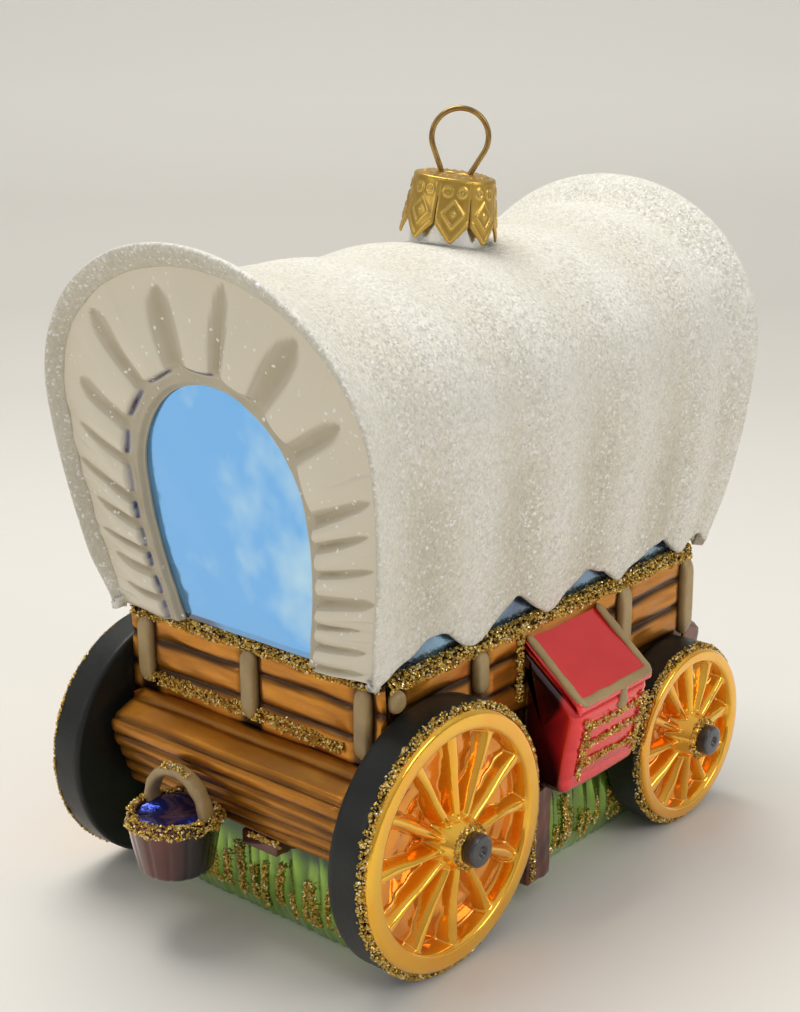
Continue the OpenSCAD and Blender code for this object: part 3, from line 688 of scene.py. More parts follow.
# Dark mark: dark paint in the plank joints and along the top plank's fold, painted shade where the box meets its
# wall, and a slow wander.
burn = np.exp(-(gap / 0.62) ** 2)[None, :] * (0.75 + 0.25 * ripple(w * 0.4, height, 9, 5))
burn = np.maximum(burn, 0.5 * np.exp(-(top_line / 0.7) ** 2)[None, :])
burn = np.maximum(burn, 0.85 * ease(-out, -1.0, -0.2)) + 0.12 * ripple(w * 0.35, height * 1.2, 12, 5)
feed = loft("feed_box_planks", np.stack([-half_len - out, w, height], -1), burn=np.clip(burn, 0, 1))
dress(feed, brown, "feed_box", "glass")
red_brown = painted("red_brown_lacquer", 110.0, (0.22, 0.06, 0.035), (0.12, 0.035, 0.022), (0.2, 0.0003),
                    (0.03, 0.012, 0.01), Roughness=0.28, Metallic=0.5, Coat_Weight=0.8, Coat_Roughness=0.06)
foot = loft("foot_box_planks", np.stack([half_len + out, w, height], -1), burn=np.clip(burn * 0.8, 0, 1))
dress(foot, red_brown, "foot_box", "glass")

# The beam end under the feed box and the two brake blocks between the rear wheels and the grass.
# Plain moulded blocks in the same red-brown lacquer.
for node in ("tail_beam", "brake_block_right", "brake_block_left"):
    lo, hi = box_mm(node)
    mid, size = (lo + hi) / 2, hi - lo
    shape = along_outline(soften(rectangle(lo[1:], hi[1:]), 0.5), 0.3)
    out, height, w = carried(shape, size[0] / 2, 0.45, 0.4, lambda o, h, w: 0.12 * ripple(w, h * 0.7, 3, 5))
    block = loft(node + "_moulded", np.stack([mid[0] + w, out, height], -1),
                 burn=0.25 + 0.2 * ripple(w, height, 2, 4))
    dress(block, red_brown, node, "glass")

# The tool chests on both sides: a deep box with a sloping lid, in clear red lacquer over silvering.
# Tan paint edges the lid on three sides and hangs down as a clasp; the ends carry a painted dark reflection
# and the foot painted shade.
red = painted("red_lacquer", 80.0, (0.97, 0.030, 0.034), (0.82, 0.014, 0.022), (0.06, 0.0004), (0.012, 0.004, 0.004),
              Roughness=0.22, Metallic=0.45, Coat_Weight=1.0, Coat_Roughness=0.04)


def tube(path, radius, flat, ref, sides=14):
    """A wire or bead along a path: at each point a ring of radius times (cos a, flat sin a), square to the path.
    ref is the direction that flattens. The ends are rounded by shrinking the last rings along a quarter circle."""
    path = np.asarray(path, float)
    t = np.gradient(path, axis=0)
    t /= np.linalg.norm(t, axis=1, keepdims=True)
    b = np.cross(t, ref)
    b /= np.linalg.norm(b, axis=1, keepdims=True)
    n = np.cross(b, t)
    s = run_length(path)
    near = np.minimum(s, s[-1] - s)
    r = radius * np.sqrt(1 - np.clip(1 - near / np.max(radius), 0, 0.97) ** 2)
    a = all_round(sides)[..., None]
    r = (r if np.ndim(r) else np.full(len(path), r))[:, None, None]
    return path[:, None] + r * np.cos(a) * b[:, None] + r * flat * np.sin(a) * n[:, None]


def walk(corners, step):
    """Points every step along a chain of corners, in two or three dimensions."""
    p = np.asarray(corners, float)
    s = run_length(p)
    t = np.linspace(0, s[-1], int(s[-1] / step) + 1)
    return at_length(t, s, p)


lid_fall, chest_taper = 7.8, 2.5


def chest_size(word):
    """A chest's middle in x, half its length, its depth, and its lid's top, its foot and its body's top in z."""
    lo, hi = box_mm("chest_" + word)
    return (lo[0] + hi[0]) / 2, (hi[0] - lo[0]) / 2, hi[1] - lo[1], box_mm("chest_lid_" + word)[1][2], lo[2], hi[2]


for side, word in ((-1, "right"), (1, "left")):
    mid_x, half_c, deep, top, foot, drop = chest_size(word)
    lip = top - lid_fall
    lid_drop = top - drop
    body = np.array([[-0.4, drop], [deep, lip - lid_drop], [deep - chest_taper, foot], [-0.4, foot]])
    shape = along_outline(soften(body, 1.3, 7), 0.3)
    boards = lambda h, w: 0.25 * np.cos(w / half_c * 1.4) - 0.18 * np.exp(-(((h - foot) % 4.6 - 2.3) / 0.5) ** 2)
    puffed = lambda o, h, w: np.where(o > deep - 3.4, boards(h, w), 0)
    out, height, w = carried(shape, half_c, 1.5, 0.45, puffed)
    # Painted dark reflection on both ends, strongest on the rear end and kept off the front face; painted shade along
    # the foot.
    burn = ease(-w, half_c - 1.9, half_c - 0.9) * (1 - 0.92 * ease(out, deep - 3.6, deep - 2.6)) * 0.97
    burn = burn + 0.9 * ease(-height, -foot - 0.8, -foot)
    burn = burn + 0.5 * ease(w, half_c - 1.6, half_c - 0.5) * (1 - ease(out, deep - 3.0, deep - 2.0))
    chest = loft("chest_body_" + word, np.stack([mid_x + w, side * (half_w + out), height], -1),
                 burn=np.clip(burn, 0, 1))
    slab = np.array([[-0.3, top + 0.1], [deep + 0.35, lip + 0.1], [deep + 0.25, lip - lid_drop + 0.2],
                     [-0.3, drop + 0.2]])
    shape = along_outline(soften(slab, 0.6, 5), 0.25)
    out2, height2, w2 = carried(shape, half_c + 0.15, 0.6, 0.45)
    lid = loft("chest_lid_slab_" + word, np.stack([mid_x + w2, side * (half_w + out2), height2], -1), burn=0 * w2)
    for thing, node in ((chest, "chest_" + word), (lid, "chest_lid_" + word)):
        dress(thing, red, node, "glass")
    slope = np.array([0, side * (top - lip), deep]) / np.hypot(top - lip, deep)
    edge = walk([[mid_x - half_c + 0.6, side * (half_w + 0.3), top + 0.15],
                 [mid_x - half_c + 0.6, side * (half_w + deep - 0.5), lip + 0.55],
                 [mid_x - half_c + 1.1, side * (half_w + deep + 0.1), lip + 0.1],
                 [mid_x + half_c - 1.1, side * (half_w + deep + 0.1), lip + 0.1],
                 [mid_x + half_c - 0.6, side * (half_w + deep - 0.5), lip + 0.55],
                 [mid_x + half_c - 0.6, side * (half_w + 0.3), top + 0.15]], 0.35)
    hand = 1 + 0.14 * ripple(edge[:, 0] * 0.9, edge[:, 1] * 0.9, 8, 5)
    beads = [tube(edge, 0.72 * hand, 0.62, slope)]
    x_c = mid_x + half_c * 0.18
    drip = walk([[x_c, side * (half_w + deep + 0.25), lip], [x_c + 0.2, side * (half_w + deep - 0.05), lip - 2.4],
                 [x_c - 0.1, side * (half_w + deep - 0.45), lip - 4.0]], 0.3)
    beads.append(tube(drip, 0.85 + 0.35 * ease(np.linspace(0, 1, len(drip)), 0.4, 0.9), 0.6,
                      np.array([0, side, 0.15])))
    for n, rings in enumerate(beads):
        bead = loft(f"chest_edging_{word}_{n}", rings, rim=0 * rings[..., 0])
        dress(bead, tan, "chest_edging_" + word, "glass")

# The water bucket that hangs on the tailgate's right: staves, a beaded rim, water to the brim and an arched handle.
# Silvering under maroon lacquer, with painted shade nearly black on one side and darker towards the foot;
# the water is cobalt, the handle matt tan.
b_lo, b_hi = box_mm("bucket")
bucket_x, bucket_y = (b_lo[0] + b_hi[0]) / 2, (b_lo[1] + b_hi[1]) / 2
bucket_r, bucket_top, bucket_foot = (b_hi[1] - b_lo[1]) / 2, b_hi[2], b_lo[2]


def turned(profile, x, y, turns, wobble):
    """A lathe: each (radius, height) of the profile swept round a vertical axis at x, y.
    wobble(radius, height, angle) is added to the radius."""
    p = np.asarray(profile, float)
    a = all_round(turns)
    r = p[:, :1] + 0 * a
    z = p[:, 1:] + 0 * a
    r = r + wobble(r, z, a)
    return np.stack([x + r * np.cos(a), y + r * np.sin(a), z], -1)


maroon = painted("maroon_lacquer", 150.0, (0.16, 0.03, 0.016), (0.08, 0.015, 0.010), (0.12, 0.0003),
                 (0.012, 0.008, 0.010), Roughness=0.2, Metallic=0.65, Coat_Weight=1.0, Coat_Roughness=0.05)
foot_r = bucket_r * 0.77
profile = soften([[0.02, bucket_top - 1.4], [bucket_r - 1.3, bucket_top - 1.4], [bucket_r - 1.2, bucket_top - 0.1],
                  [bucket_r - 0.1, bucket_top - 0.1],
                  [bucket_r, bucket_top - 1.4], [foot_r + 0.15, bucket_foot + 0.2], [foot_r - 0.6, bucket_foot],
                  [0.02, bucket_foot]], 0.4, 5)
profile = walk(profile[5:-5], 0.3)


def staves(r, z, a):
    """Fourteen narrow grooves down the outside of the bucket, and a slow wander."""
    groove = -0.16 * np.exp(-((a * 14 / 2 / np.pi % 1 - 0.5) / 0.09) ** 2)
    outside = (z < bucket_top - 1.6) & (z > bucket_foot + 0.1)
    return np.where(outside, groove, 0) + 0.1 * ripple(np.cos(a) * 2, np.sin(a) * 2 + z * 0.3, 6, 5)


rings = turned(profile, bucket_x, bucket_y, 112, staves)
a = np.linspace(0, 360, 113)[None, :-1]
# Painted shade: nearly black round one side of the bucket, and darker towards its foot.
burn = ease(-np.abs((a - 300 + 180) % 360 - 180), -95, -50) * 0.92
burn = burn + 0.2 * ease(-rings[..., 2], -bucket_foot - 2, -bucket_foot)
pail = loft("bucket_staves", rings, burn=np.clip(burn, 0, 1))
dress(pail, maroon, "bucket", "glass")

mat = painted("cobalt_water", 260.0, (0.035, 0.075, 0.55), (0.012, 0.02, 0.22), (0.35, 0.0004),
              Roughness=0.14, Metallic=0.8, Coat_Weight=1.0, Coat_Roughness=0.03)
rho = np.concatenate([np.linspace(0.02, 1, 22), [1.0]])[:, None]
theta = all_round(72)
wet_x, wet_y = (bucket_r - 1.1) * rho * np.cos(theta), (bucket_r - 1.1) * rho * np.sin(theta)
wet = bucket_top - 0.55 + 0.5 * ripple(wet_x * 0.55, wet_y * 0.55, 21, 6) + 0.35 * (1 - rho ** 2)
wet[-1] = bucket_top - 1.5
water = loft("bucket_water_surface", np.stack([bucket_x + wet_x, bucket_y + wet_y, wet], -1))
dress(water, mat, "bucket_water", "glass")

h_lo, h_hi = box_mm("bucket_handle")
arch_r = (h_hi[1] - h_lo[1]) / 2 - 0.95
arch_a = np.radians(np.linspace(-4, 184, 44))
handle_x = (h_lo[0] + h_hi[0]) / 2
arch_top = h_hi[2] - 0.9 - arch_r
path = np.stack([np.full_like(arch_a, handle_x), bucket_y + arch_r * np.cos(arch_a),
                 arch_top + arch_r * np.sin(arch_a)], 1)
path = np.concatenate([[[handle_x, bucket_y + arch_r, bucket_top - 1.2]], path,
                       [[handle_x, bucket_y - arch_r, bucket_top - 1.2]]])
path = walk(path, 0.35)
hand = 1 + 0.07 * ripple(path[:, 1], path[:, 2], 14, 5)
a = all_round(16)
middle = np.array([handle_x, bucket_y, arch_top - 1])
away = path - middle
away[:, 0] = 0
away /= np.linalg.norm(away, axis=1, keepdims=True)
square = lambda c: np.sign(c) * np.abs(c) ** 0.6
sideways, outwards = 1.15 * hand[:, None] * square(np.cos(a)), 0.75 * hand[:, None] * square(np.sin(a))
rings = path[:, None] + sideways[..., None] * np.array([1.0, 0, 0]) + outwards[..., None] * away[:, None]
handle = loft("bucket_handle_arch", rings, rim=0 * rings[..., 0])
dress(handle, tan, "bucket_handle", "glass")

# The grass mound the wagon stands on: upright blades all round, pressed into the mould, with a flat foot.
# Silvering under light green lacquer, dark where the wagon shades it.
g_lo, g_hi = box_mm("grass_base")
green = painted("green_lacquer", 90.0, (0.36, 0.60, 0.07), (0.17, 0.34, 0.03), (0.15, 0.0004), (0.03, 0.075, 0.02),
                Roughness=0.17, Metallic=0.7, Coat_Weight=1.0, Coat_Roughness=0.04)
ring_pts, ring_out = along_outline(soften(rectangle(g_lo[:2], g_hi[:2]), 3.0, 9), 0.35)
around = np.arange(len(ring_pts)) * 0.35
height = np.linspace(0, 1, 34)[:, None]
tall, foot_inset, foot_share = g_hi[2], 2.2, 0.34


def blades(s, h):
    """Blades: the greatest of three rows of narrow humps, 1 at the blade's bent middle and 0 half a pitch away,
    each fading at its own tip. s runs round the mound and h up it."""
    best = np.zeros(np.broadcast(s, h).shape)
    for k, (pitch, bend, seed) in enumerate([(2.3, 1.6, 51), (3.4, -2.0, 52), (1.7, 0.8, 53)]):
        lean = s + bend * h ** 2 * ripple(s * 0.25, 0, seed, 6) * 1.4 + 0.8 * k
        f = np.abs(lean / pitch % 1 - 0.5) * 2
        cell = np.floor(lean / pitch)
        tip = 0.62 + 0.38 * np.sin(cell * 12.9898 + seed) ** 2
        wide = np.clip((tip - h) / 0.35, 0, 1) ** 0.6
        best = np.maximum(best, np.clip(wide - f, 0, 1) * (0.6 + 0.4 * np.cos(cell * 7.1)))
    return best


grow = blades(around[None, :], height)
inset = foot_inset * (1 - np.clip(height / foot_share, 0, 1)) ** 1.5 + 0.55 - 0.55 * grow
rings = np.concatenate([ring_pts - ring_out * inset[..., None], (height * tall + 0 * grow)[..., None]], -1)
# Painted shade: dark at the top of the mound, where the wagon shades it, and in the gaps between the blades.
shade = 0.75 * ease(height, 0.72, 1.0) + 0.5 * (1 - np.clip(grow * 2.2, 0, 1)) * ease(height, 0.0, 0.3) + 0 * grow
mound = loft("grass_blades", rings, burn=np.clip(shade, 0, 1))
dress(mound, green, "grass_base", "glass")

# The four wheels: tyre, spoked disc and hub cap, each a ring of the same blow.
# The tyre is satin charcoal paint; the wheel is silvering under clear orange lacquer, with painted shade between
# the spokes; the hub cap is gloss black.
charcoal = painted("charcoal_paint", 160.0, (0.014, 0.016, 0.014), (0.008, 0.009, 0.008), (0.18, 0.0003),
                   Roughness=0.42, Specular_IOR_Level=0.3, Coat_Weight=0.08, Coat_Roughness=0.25)
orange = painted("orange_lacquer", 170.0, (1.0, 0.58, 0.028), (1.0, 0.45, 0.014), (0.10, 0.0003), (0.80, 0.26, 0.007),
                 Roughness=0.13, Metallic=0.8, Coat_Weight=1.0, Coat_Roughness=0.04)
hub_black = painted("hub_black", 300.0, (0.014, 0.015, 0.017), (0.03, 0.032, 0.036), (0.2, 0.0003),
                    Roughness=0.28, Coat_Weight=0.8, Coat_Roughness=0.08)
spokes, tyre_w, rim_share, seat_share = 12, 5.7, 0.79, 0.965


def spun(rings, wheel, side):
    """Wheel coordinates (radius, angle, out along the axle) in the frame: x and z round the axle, y outwards."""
    r, a, o = rings
    cx, cz = wheel
    return np.stack([cx + r * np.cos(a), side * (half_w + o), cz + r * np.sin(a)], -1)


def wheel_face(r, a, tyre_r, seed):
    """The height of the wheel's face over its web, and how far each point is lit: a rim ledge, twelve spokes
    that thicken to a cone round the hub, and a bowl between them."""
    rim_in = tyre_r * rim_share
    bend = 0.08 * ripple(r * 0.3, a * 2, seed, 5)
    f = np.abs((a / (2 * np.pi) * spokes + bend + 0.5) % 1 - 0.5) / spokes * 2 * np.pi * r
    half = 0.62 + 0.35 * (r / rim_in) ** 3 + 0.12 * ripple(r * 0.6, a * 3, seed + 3, 5)
    spoke = 1 / (1 + np.exp((f - half - 0.12) / 0.19))
    cone = np.clip((4.9 - r) / 2.4, 0, 1)
    cone = cone * cone * (3 - 2 * cone)
    rim = 1 / (1 + np.exp(-(r - rim_in) / 0.16))
    slope = 2.1 + 0.9 * np.clip((rim_in - r) / rim_in, 0, 1)
    level = np.maximum(spoke * slope, np.maximum(rim * 2.75, 0.35 + 0.35 * ripple(r * 1.1, a * 5, seed + 9, 6)))
    lit = np.maximum(np.maximum(spoke, rim), ease(cone, 0.05, 0.4))
    return np.maximum(level, cone * 4.9) + 0.08 * ripple(r * 0.9, a * 4, seed + 5, 6) * (1 - rim), lit


for k, word in enumerate(("rear_right", "rear_left", "front_right", "front_left")):
    lo, hi = box_mm("tyre_" + word)
    side = -1 if "right" in word else 1
    axle, tyre_r = ((lo[0] + hi[0]) / 2, (lo[2] + hi[2]) / 2), (hi[0] - lo[0]) / 2
    seat, rim_in, face_z = tyre_r * seat_share, tyre_r * rim_share, tyre_w - 2.3
    a = all_round(180)
    dish = soften([[0.05, 0.05], [tyre_r, 0.05], [tyre_r, tyre_w - 0.1], [seat - 0.1, tyre_w - 0.1],
                   [seat - 0.3, face_z], [0.05, face_z]], 0.8, 7)
    q = walk(dish[7:-7], 0.35)
    q = np.concatenate([[[0.05, 0.05], [4, 0.05], [9, 0.05]], q[q[:, 0] > 0.3],
                        [[9, face_z], [4, face_z], [0.05, face_z]]])
    q = q[np.concatenate([[True, True, True], (q[3:-3, 0] > 9.5), [True, True, True]])]
    uneven = 0.10 * ripple(np.cos(a) * 1.7, np.sin(a) * 1.7, 60 + k, 5)
    r, o = q[:, :1] + uneven * (q[:, :1] > seat) - 0.1 * (q[:, :1] > seat), q[:, 1:] + 0 * a
    tyre = loft("tyre_band_" + word, spun((r, a + 0 * r, o), axle, side), burn=0 * r)
    rho = np.concatenate([[0.15], np.linspace(0.5, 5.2, 20), np.linspace(5.4, rim_in - 0.8, 24),
                          np.linspace(rim_in - 0.6, rim_in + 0.8, 12),
                          np.linspace(rim_in + 1.1, seat - 0.35, 5)])[:, None]
    fine = all_round(432)
    level, lit = wheel_face(rho, fine, tyre_r, 70 + k)
    out = tyre_w - 2.4 + 0.5 + level
    out[-1] -= 0.35
    back = np.array([[seat - 0.3, tyre_w - 2.6], [seat - 3, tyre_w - 3.0], [0.15, tyre_w - 3.0]])
    r = np.concatenate([rho + 0 * fine, back[:, :1] + 0 * fine])
    o = np.concatenate([out, back[:, 1:] + 0 * fine])
    # Painted shade: dark where the face is not lit, between the spokes and on the disc's back; glow adds broad darker
    # patches.
    burn = np.concatenate([1 - lit, np.ones((3, fine.shape[1]))]) * 0.88
    glow = 0.25 * ease(ripple(np.cos(fine) * 1.5 + 0 * r, np.sin(fine) * 1.5 + r * 0.1, 80 + k, 6), 0.1, 0.9)
    disc = loft("wheel_spokes_" + word, spun((r, fine + 0 * r, o), axle, side), burn=np.clip(burn + glow, 0, 1))
    lo, hi = box_mm("hub_cap_" + word)
    hub_r = (hi[0] - lo[0]) / 2
    far = max(abs(lo[1]), abs(hi[1])) - half_w
    shape = soften([[0.05, far - 0.55], [0.55, far - 0.5], [0.8, far], [hub_r - 0.1, far - 0.15], [hub_r, far - 1.3],
                    [hub_r - 0.1, far - 1.8], [0.05, far - 1.8]], 0.35, 6)
    q = walk(shape[6:-6], 0.18)
    a = all_round(60)
    r, o = q[:, :1] * (1 + 0.05 * ripple(np.cos(a) * 1.5, np.sin(a) * 1.5, 90 + k, 5)), q[:, 1:] + 0 * a
    cap = loft("hub_cap_dimpled_" + word, spun((r, a + 0 * r, o), axle, side), burn=0 * r)
    dress(tyre, charcoal, "tyre_" + word, "glass")
    dress(disc, orange, "wheel_" + word, "glass")
    dress(cap, hub_black, "hub_cap_" + word, "glass")

# The crown cap: thin stamped sheet with a gold finish, pushed over the neck and held by the hanger's spring legs.
# Eight petals with slits between them, each pressed with two scrolls over a lozenge; the top has a beaded rosette.
joints = {j["name"]: j for j in frame["record"]["behaviour"]["joints"]}
neck_axis = np.array(joints["cap_lift"]["axis"])
neck_axis = neck_axis / np.linalg.norm(neck_axis)
knee = np.array(joints["hanger_tilt"]["pos_m"]) / mm
loop_dir = np.array(joints["hanger_tilt"]["axis"])
loop_dir = loop_dir / np.linalg.norm(loop_dir)
cross_dir = np.cross(neck_axis, loop_dir)
cap_t, cap_r, cap_flare, cap_h, petals, point_h = 0.45, 6.3, 0.8, 9.2, 8, 2.6


def on_neck(x, y, up):
    """A point given across the loop, along it and up the neck's axis, measured from the cap's flat top."""
    base = knee + neck_axis * cap_t / 2
    return base + x[..., None] * loop_dir + y[..., None] * cross_dir + up[..., None] * neck_axis


pitch = 2 * np.pi / petals
inside = np.concatenate([[0.012, 0.024, 0.05], np.linspace(0.09, 0.91, 30), [0.95, 0.976, 0.988]])
a = ((np.arange(petals)[:, None] + inside[None, :]) * pitch).reshape(1, -1) + pitch / 2
f = (a / pitch + 0.5) % 1.0
from_slit = np.minimum(f, 1 - f) * pitch * cap_r
cut = np.where(from_slit < 0.085, 6.3, 0)
point = point_h * (1 - np.clip(np.minimum(f, 1 - f) * 2.2, 0, 1))
foot_up = np.maximum(cut, point)
down = np.linspace(0, 1, 46)[:, None]
top_r = np.concatenate([[0.05], np.linspace(0.6, cap_r - 0.75, 26)])[:, None]
corner = np.radians(np.linspace(0, 90, 6))[1:, None]
skirt_up = -0.55 - down[1:] * (cap_h - 0.55 - foot_up)
skirt_r = cap_r + cap_flare * (-skirt_up / cap_h) ** 1.1
across_p = (f - 0.5) * pitch * cap_r
low = -skirt_up
scroll_x, scroll_z, scroll_r = 1.05, 2.1, 0.62
curl = lambda x: np.exp(-((np.hypot(across_p - x, low - scroll_z) - scroll_r) / 0.17) ** 2)
scroll = curl(-scroll_x) + curl(scroll_x)
scroll = scroll + 0.9 * np.exp(-((np.abs(across_p) - scroll_x) ** 2 + (low - scroll_z) ** 2) / 0.05)
lozenge = np.abs(across_p) / 1.45 + np.abs(low - 5.2) / 1.9
relief = scroll + np.exp(-((lozenge - 1) / 0.13) ** 2) + 1.1 * np.exp(-(lozenge / 0.28) ** 2)
lower = np.abs(across_p) / 1.7 - (8.9 - low) / 2.3
relief = relief + 0.8 * np.exp(-(lower / 0.12) ** 2) * (low > 6.2)
relief = relief + 0.5 * np.exp(-((np.abs(across_p) - 2.15) / 0.14) ** 2)
relief = relief * ease(low, 0.9, 1.4) * ease(from_slit, 0.1, 0.35)
puffed = 0.35 * np.cos(across_p / 2.6) * ease(low, 1.5, 7)
skirt_r = skirt_r - 0.42 + 0.17 * np.clip(relief, 0, 1.3) + puffed
beads = 0.20 * np.exp(-((top_r - 4.4) / 0.42) ** 2) * (0.5 + 0.5 * np.cos(a * 24))
beads = beads + 0.17 * np.exp(-((top_r - 2.9) / 0.25) ** 2)
beads = beads + 0.13 * np.exp(-((top_r - 1.2) / 0.9) ** 2) * np.cos(a * 8)
top_up = -0.12 - 0.35 * (top_r / cap_r) ** 4 + beads
rim_r, rim_up = cap_r - 0.75 + 0.35 * np.sin(corner) + 0 * a, top_up[-1:] - 0.35 * (1 - np.cos(corner)) + 0 * a
r = np.concatenate([top_r + 0 * a, rim_r, skirt_r])
up = np.concatenate([top_up, rim_up, skirt_up])
seen = np.concatenate([0 * top_r + beads * 3, 0 * rim_r, relief])
low_edge = np.concatenate([r[-1:] - 0.1, r[-1:] - 0.28, r[::-1][2:] - 0.3])
inner_r = np.maximum(low_edge, 0.05)
inner_up = np.concatenate([up[-1:] - 0.08, up[-1:], np.minimum(up[::-1][2:], up[::-1][2:] * 0 - 0.5)])
inner_up[2:] = np.minimum(inner_up[2:], up[::-1][2:] - 0.28 * (up[::-1][2:] > -1.2))
r, up = np.concatenate([r, inner_r]), np.concatenate([up, inner_up])
cap = loft("crown_cap_stamped", on_neck(r * np.cos(a), r * np.sin(a), up),
           worn=np.clip(np.concatenate([seen, 0 * inner_r]), 0, 1))
mat, bsdf, put = shader("gold_stamped_sheet")
paint = add_group(put, hand_paint, Scale=300.0)
# Lighter, glossier gold on the raised relief: the scrolls, the lozenges and the rosette's beads.
worn = mark(put, "worn")
base = blend_colour(put, worn, (0.50, 0.30, 0.055), (0.86, 0.62, 0.20))
put(bsdf, Base_Color=blend_colour(put, paint["Shade"], base, (0.62, 0.40, 0.09)),
    Roughness=straight(put, worn, 0, 1, 0.34, 0.22), Metallic=0.92,
    Normal=bump(put, paint["Height"], 0.15, 0.0002))
dress(cap, mat, "crown_cap", "cap")

# The hanger: one spring wire bent to a round loop, with two legs that spread inside the neck.
# Drawn wire with a darker gold finish than the cap.
mat = painted("gold_drawn_wire", 420.0, (0.47, 0.30, 0.10), (0.27, 0.155, 0.05), (0.1, 0.0001),
              Roughness=0.24, Metallic=0.95)
wire_r, leg_gap, leg_spread, leg_len, loop_r = 0.4, 1.95, 3.0, 12.0, 4.05
rise = loop_r + 0.95 + cap_t / 2
reach = np.hypot(leg_gap, rise)
turn = np.arccos(loop_r / reach) - np.arctan2(rise, leg_gap)
bend = np.linspace(turn, np.pi - turn, 72)
arc = np.stack([loop_r * np.cos(bend), rise + loop_r * np.sin(bend)], 1)
line = walk([[leg_spread, -leg_len], [leg_gap, 0], arc[0]], 0.4)
flat_path = np.concatenate([line[:-1], arc, line[:-1][::-1] * [-1, 1]])
for _ in range(2):
    flat_path[1:-1] = (flat_path[:-2] + 2 * flat_path[1:-1] + flat_path[2:]) / 4
path = knee + flat_path[:, :1] * loop_dir + flat_path[:, 1:] * neck_axis
wire = loft("hanger_wire", tube(path, wire_r + 0 * path[:, 0], 1.0, cross_dir, 18))
dress(wire, mat, "hanger", "hanger")

# Gold glitter, stuck on in hand-drawn lines of glue: along the rails, the tyres, the hubs, the chests and the grass.
# Each grain is its own small eight-sided chip, so the lines catch the light as the piece turns.
mat, bsdf, put = shader("gold_glitter")
shine = mark(put, "shine")
base = blend_colour(put, straight(put, shine, 0.0, 0.55), (0.30, 0.175, 0.028), (0.78, 0.52, 0.10))
put(bsdf, Base_Color=blend_colour(put, straight(put, shine, 0.82, 0.9), base, (1.0, 0.88, 0.56)), Roughness=0.32,
    Metallic=0.75)
gold_glitter = mat
grain, fullness, glue = 0.25, 1.9, 0.16


def grains(name, spots, size, seed):
    """Eight-sided chips at these points: corners size, 0.85 size and 0.55 size out, both ways along random axes."""
    rng = np.random.default_rng(seed)
    spots = np.asarray(spots)
    n = len(spots)
    q = rng.normal(size=(n, 4))
    q /= np.linalg.norm(q, axis=1, keepdims=True)
    w, x, y, z = q.T
    turn = np.stack([np.stack([1 - 2 * (y * y + z * z), 2 * (x * y - z * w), 2 * (x * z + y * w)], 1),
                     np.stack([2 * (x * y + z * w), 1 - 2 * (x * x + z * z), 2 * (y * z - x * w)], 1),
                     np.stack([2 * (x * z - y * w), 2 * (y * z + x * w), 1 - 2 * (x * x + y * y)], 1)], 1)
    s = size * rng.uniform(0.7, 1.25, (n, 1, 1)) * np.array([1, 0.85, 0.55])[None, :, None]
    ends = np.concatenate([turn * s, -turn * s], 1)
    pts = (spots[:, None] + ends).reshape(-1, 3)
    corners = np.array([[0, 1, 2], [1, 3, 2], [3, 4, 2], [4, 0, 2], [1, 0, 5], [3, 1, 5], [4, 3, 5], [0, 4, 5]])
    faces = (np.arange(n)[:, None, None] * 6 + corners[None]).reshape(-1, 3)
    thing = new_piece(name, pts * mm, faces.tolist())
    set_mark(thing, "shine", np.repeat(rng.random(n), 6))
    thing.data.materials.append(gold_glitter)
    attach(thing, "glass")


def trail(path, normal, width, seed, per_mm2=9.0, ragged=0.3):
    """Grain places along a drawn line: even along it, and spread across it by a power of a random number, with
    ragged edges and a width that wanders along the line. glue is how far they stand off the surface."""
    rng = np.random.default_rng(seed)
    p, normal = np.asarray(path, float), np.asarray(normal, float)
    s = run_length(p)
    n = int(s[-1] * width * per_mm2 * fullness)
    t = rng.uniform(0, s[-1], n)
    at = at_length(t, s, p)
    along = at_length(t, s, np.gradient(p, axis=0))
    nn = at_length(t, s, np.broadcast_to(normal, p.shape))
    nn /= np.linalg.norm(nn, axis=1, keepdims=True)
    over = np.cross(along, nn)
    over /= np.linalg.norm(over, axis=1, keepdims=True) + 1e-9
    wide = width / 2 * (1 + ragged * ripple(t * 1.3, 0 * t, seed, 6))
    c = rng.uniform(-1, 1, n)
    c = np.sign(c) * np.abs(c) ** 0.85 * wide + rng.normal(0, 0.05, n)
    heap = 0.18 * (1 - np.clip(np.abs(c) / wide, 0, 1) ** 2)
    return at + over * c[:, None] + nn * (glue + rng.uniform(-0.14, 0.1, n) + heap)[:, None]


def line_of(n, *coordinates):
    """n points with these x, y and z, each a number or an array."""
    return np.stack([np.broadcast_to(np.asarray(c, float), (n,)) for c in coordinates], 1)


walk_x = np.linspace(-half_len + 0.6, half_len - 0.6, 150)
walk_y = np.linspace(-half_w + 0.3, half_w - 0.3, 100)
spots = []
for side in (-1, 1):
    line = line_of(150, walk_x, side * (half_w + 0.1), rail_z - 0.75 + 0.15 * ripple(walk_x * 0.3, 0, 2, 5))
    spots.append(trail(line, [0, side, 0.2], 1.7, 101 + side))
    spots.append(trail(line_of(150, walk_x, side * (half_w - 0.5), rail_z + 0.02), [0, 0, 1], 1.3, 105 + side, 6))
for end in (-1, 1):
    line = line_of(100, end * (half_len + 0.1), walk_y, rail_z - 0.7 + 0.2 * ripple(walk_y * 0.3, 0, 3, 5))
    spots.append(trail(line, [end, 0, 0.2], 2.0, 111 + end))
    spots.append(trail(line_of(100, end * (half_len - 0.5), walk_y, rail_z + 0.02), [0, 0, 1], 1.3, 115 + end, 6))
foot_line = np.linspace(-17.5, 21.5, 90)
line = line_of(90, -half_len - 0.45, foot_line, rail_z - 10.5 + 0.3 * ripple(foot_line * 0.25, 0, 6, 5))
spots.append(trail(line, [-1, 0, 0.4], 1.7, 121))
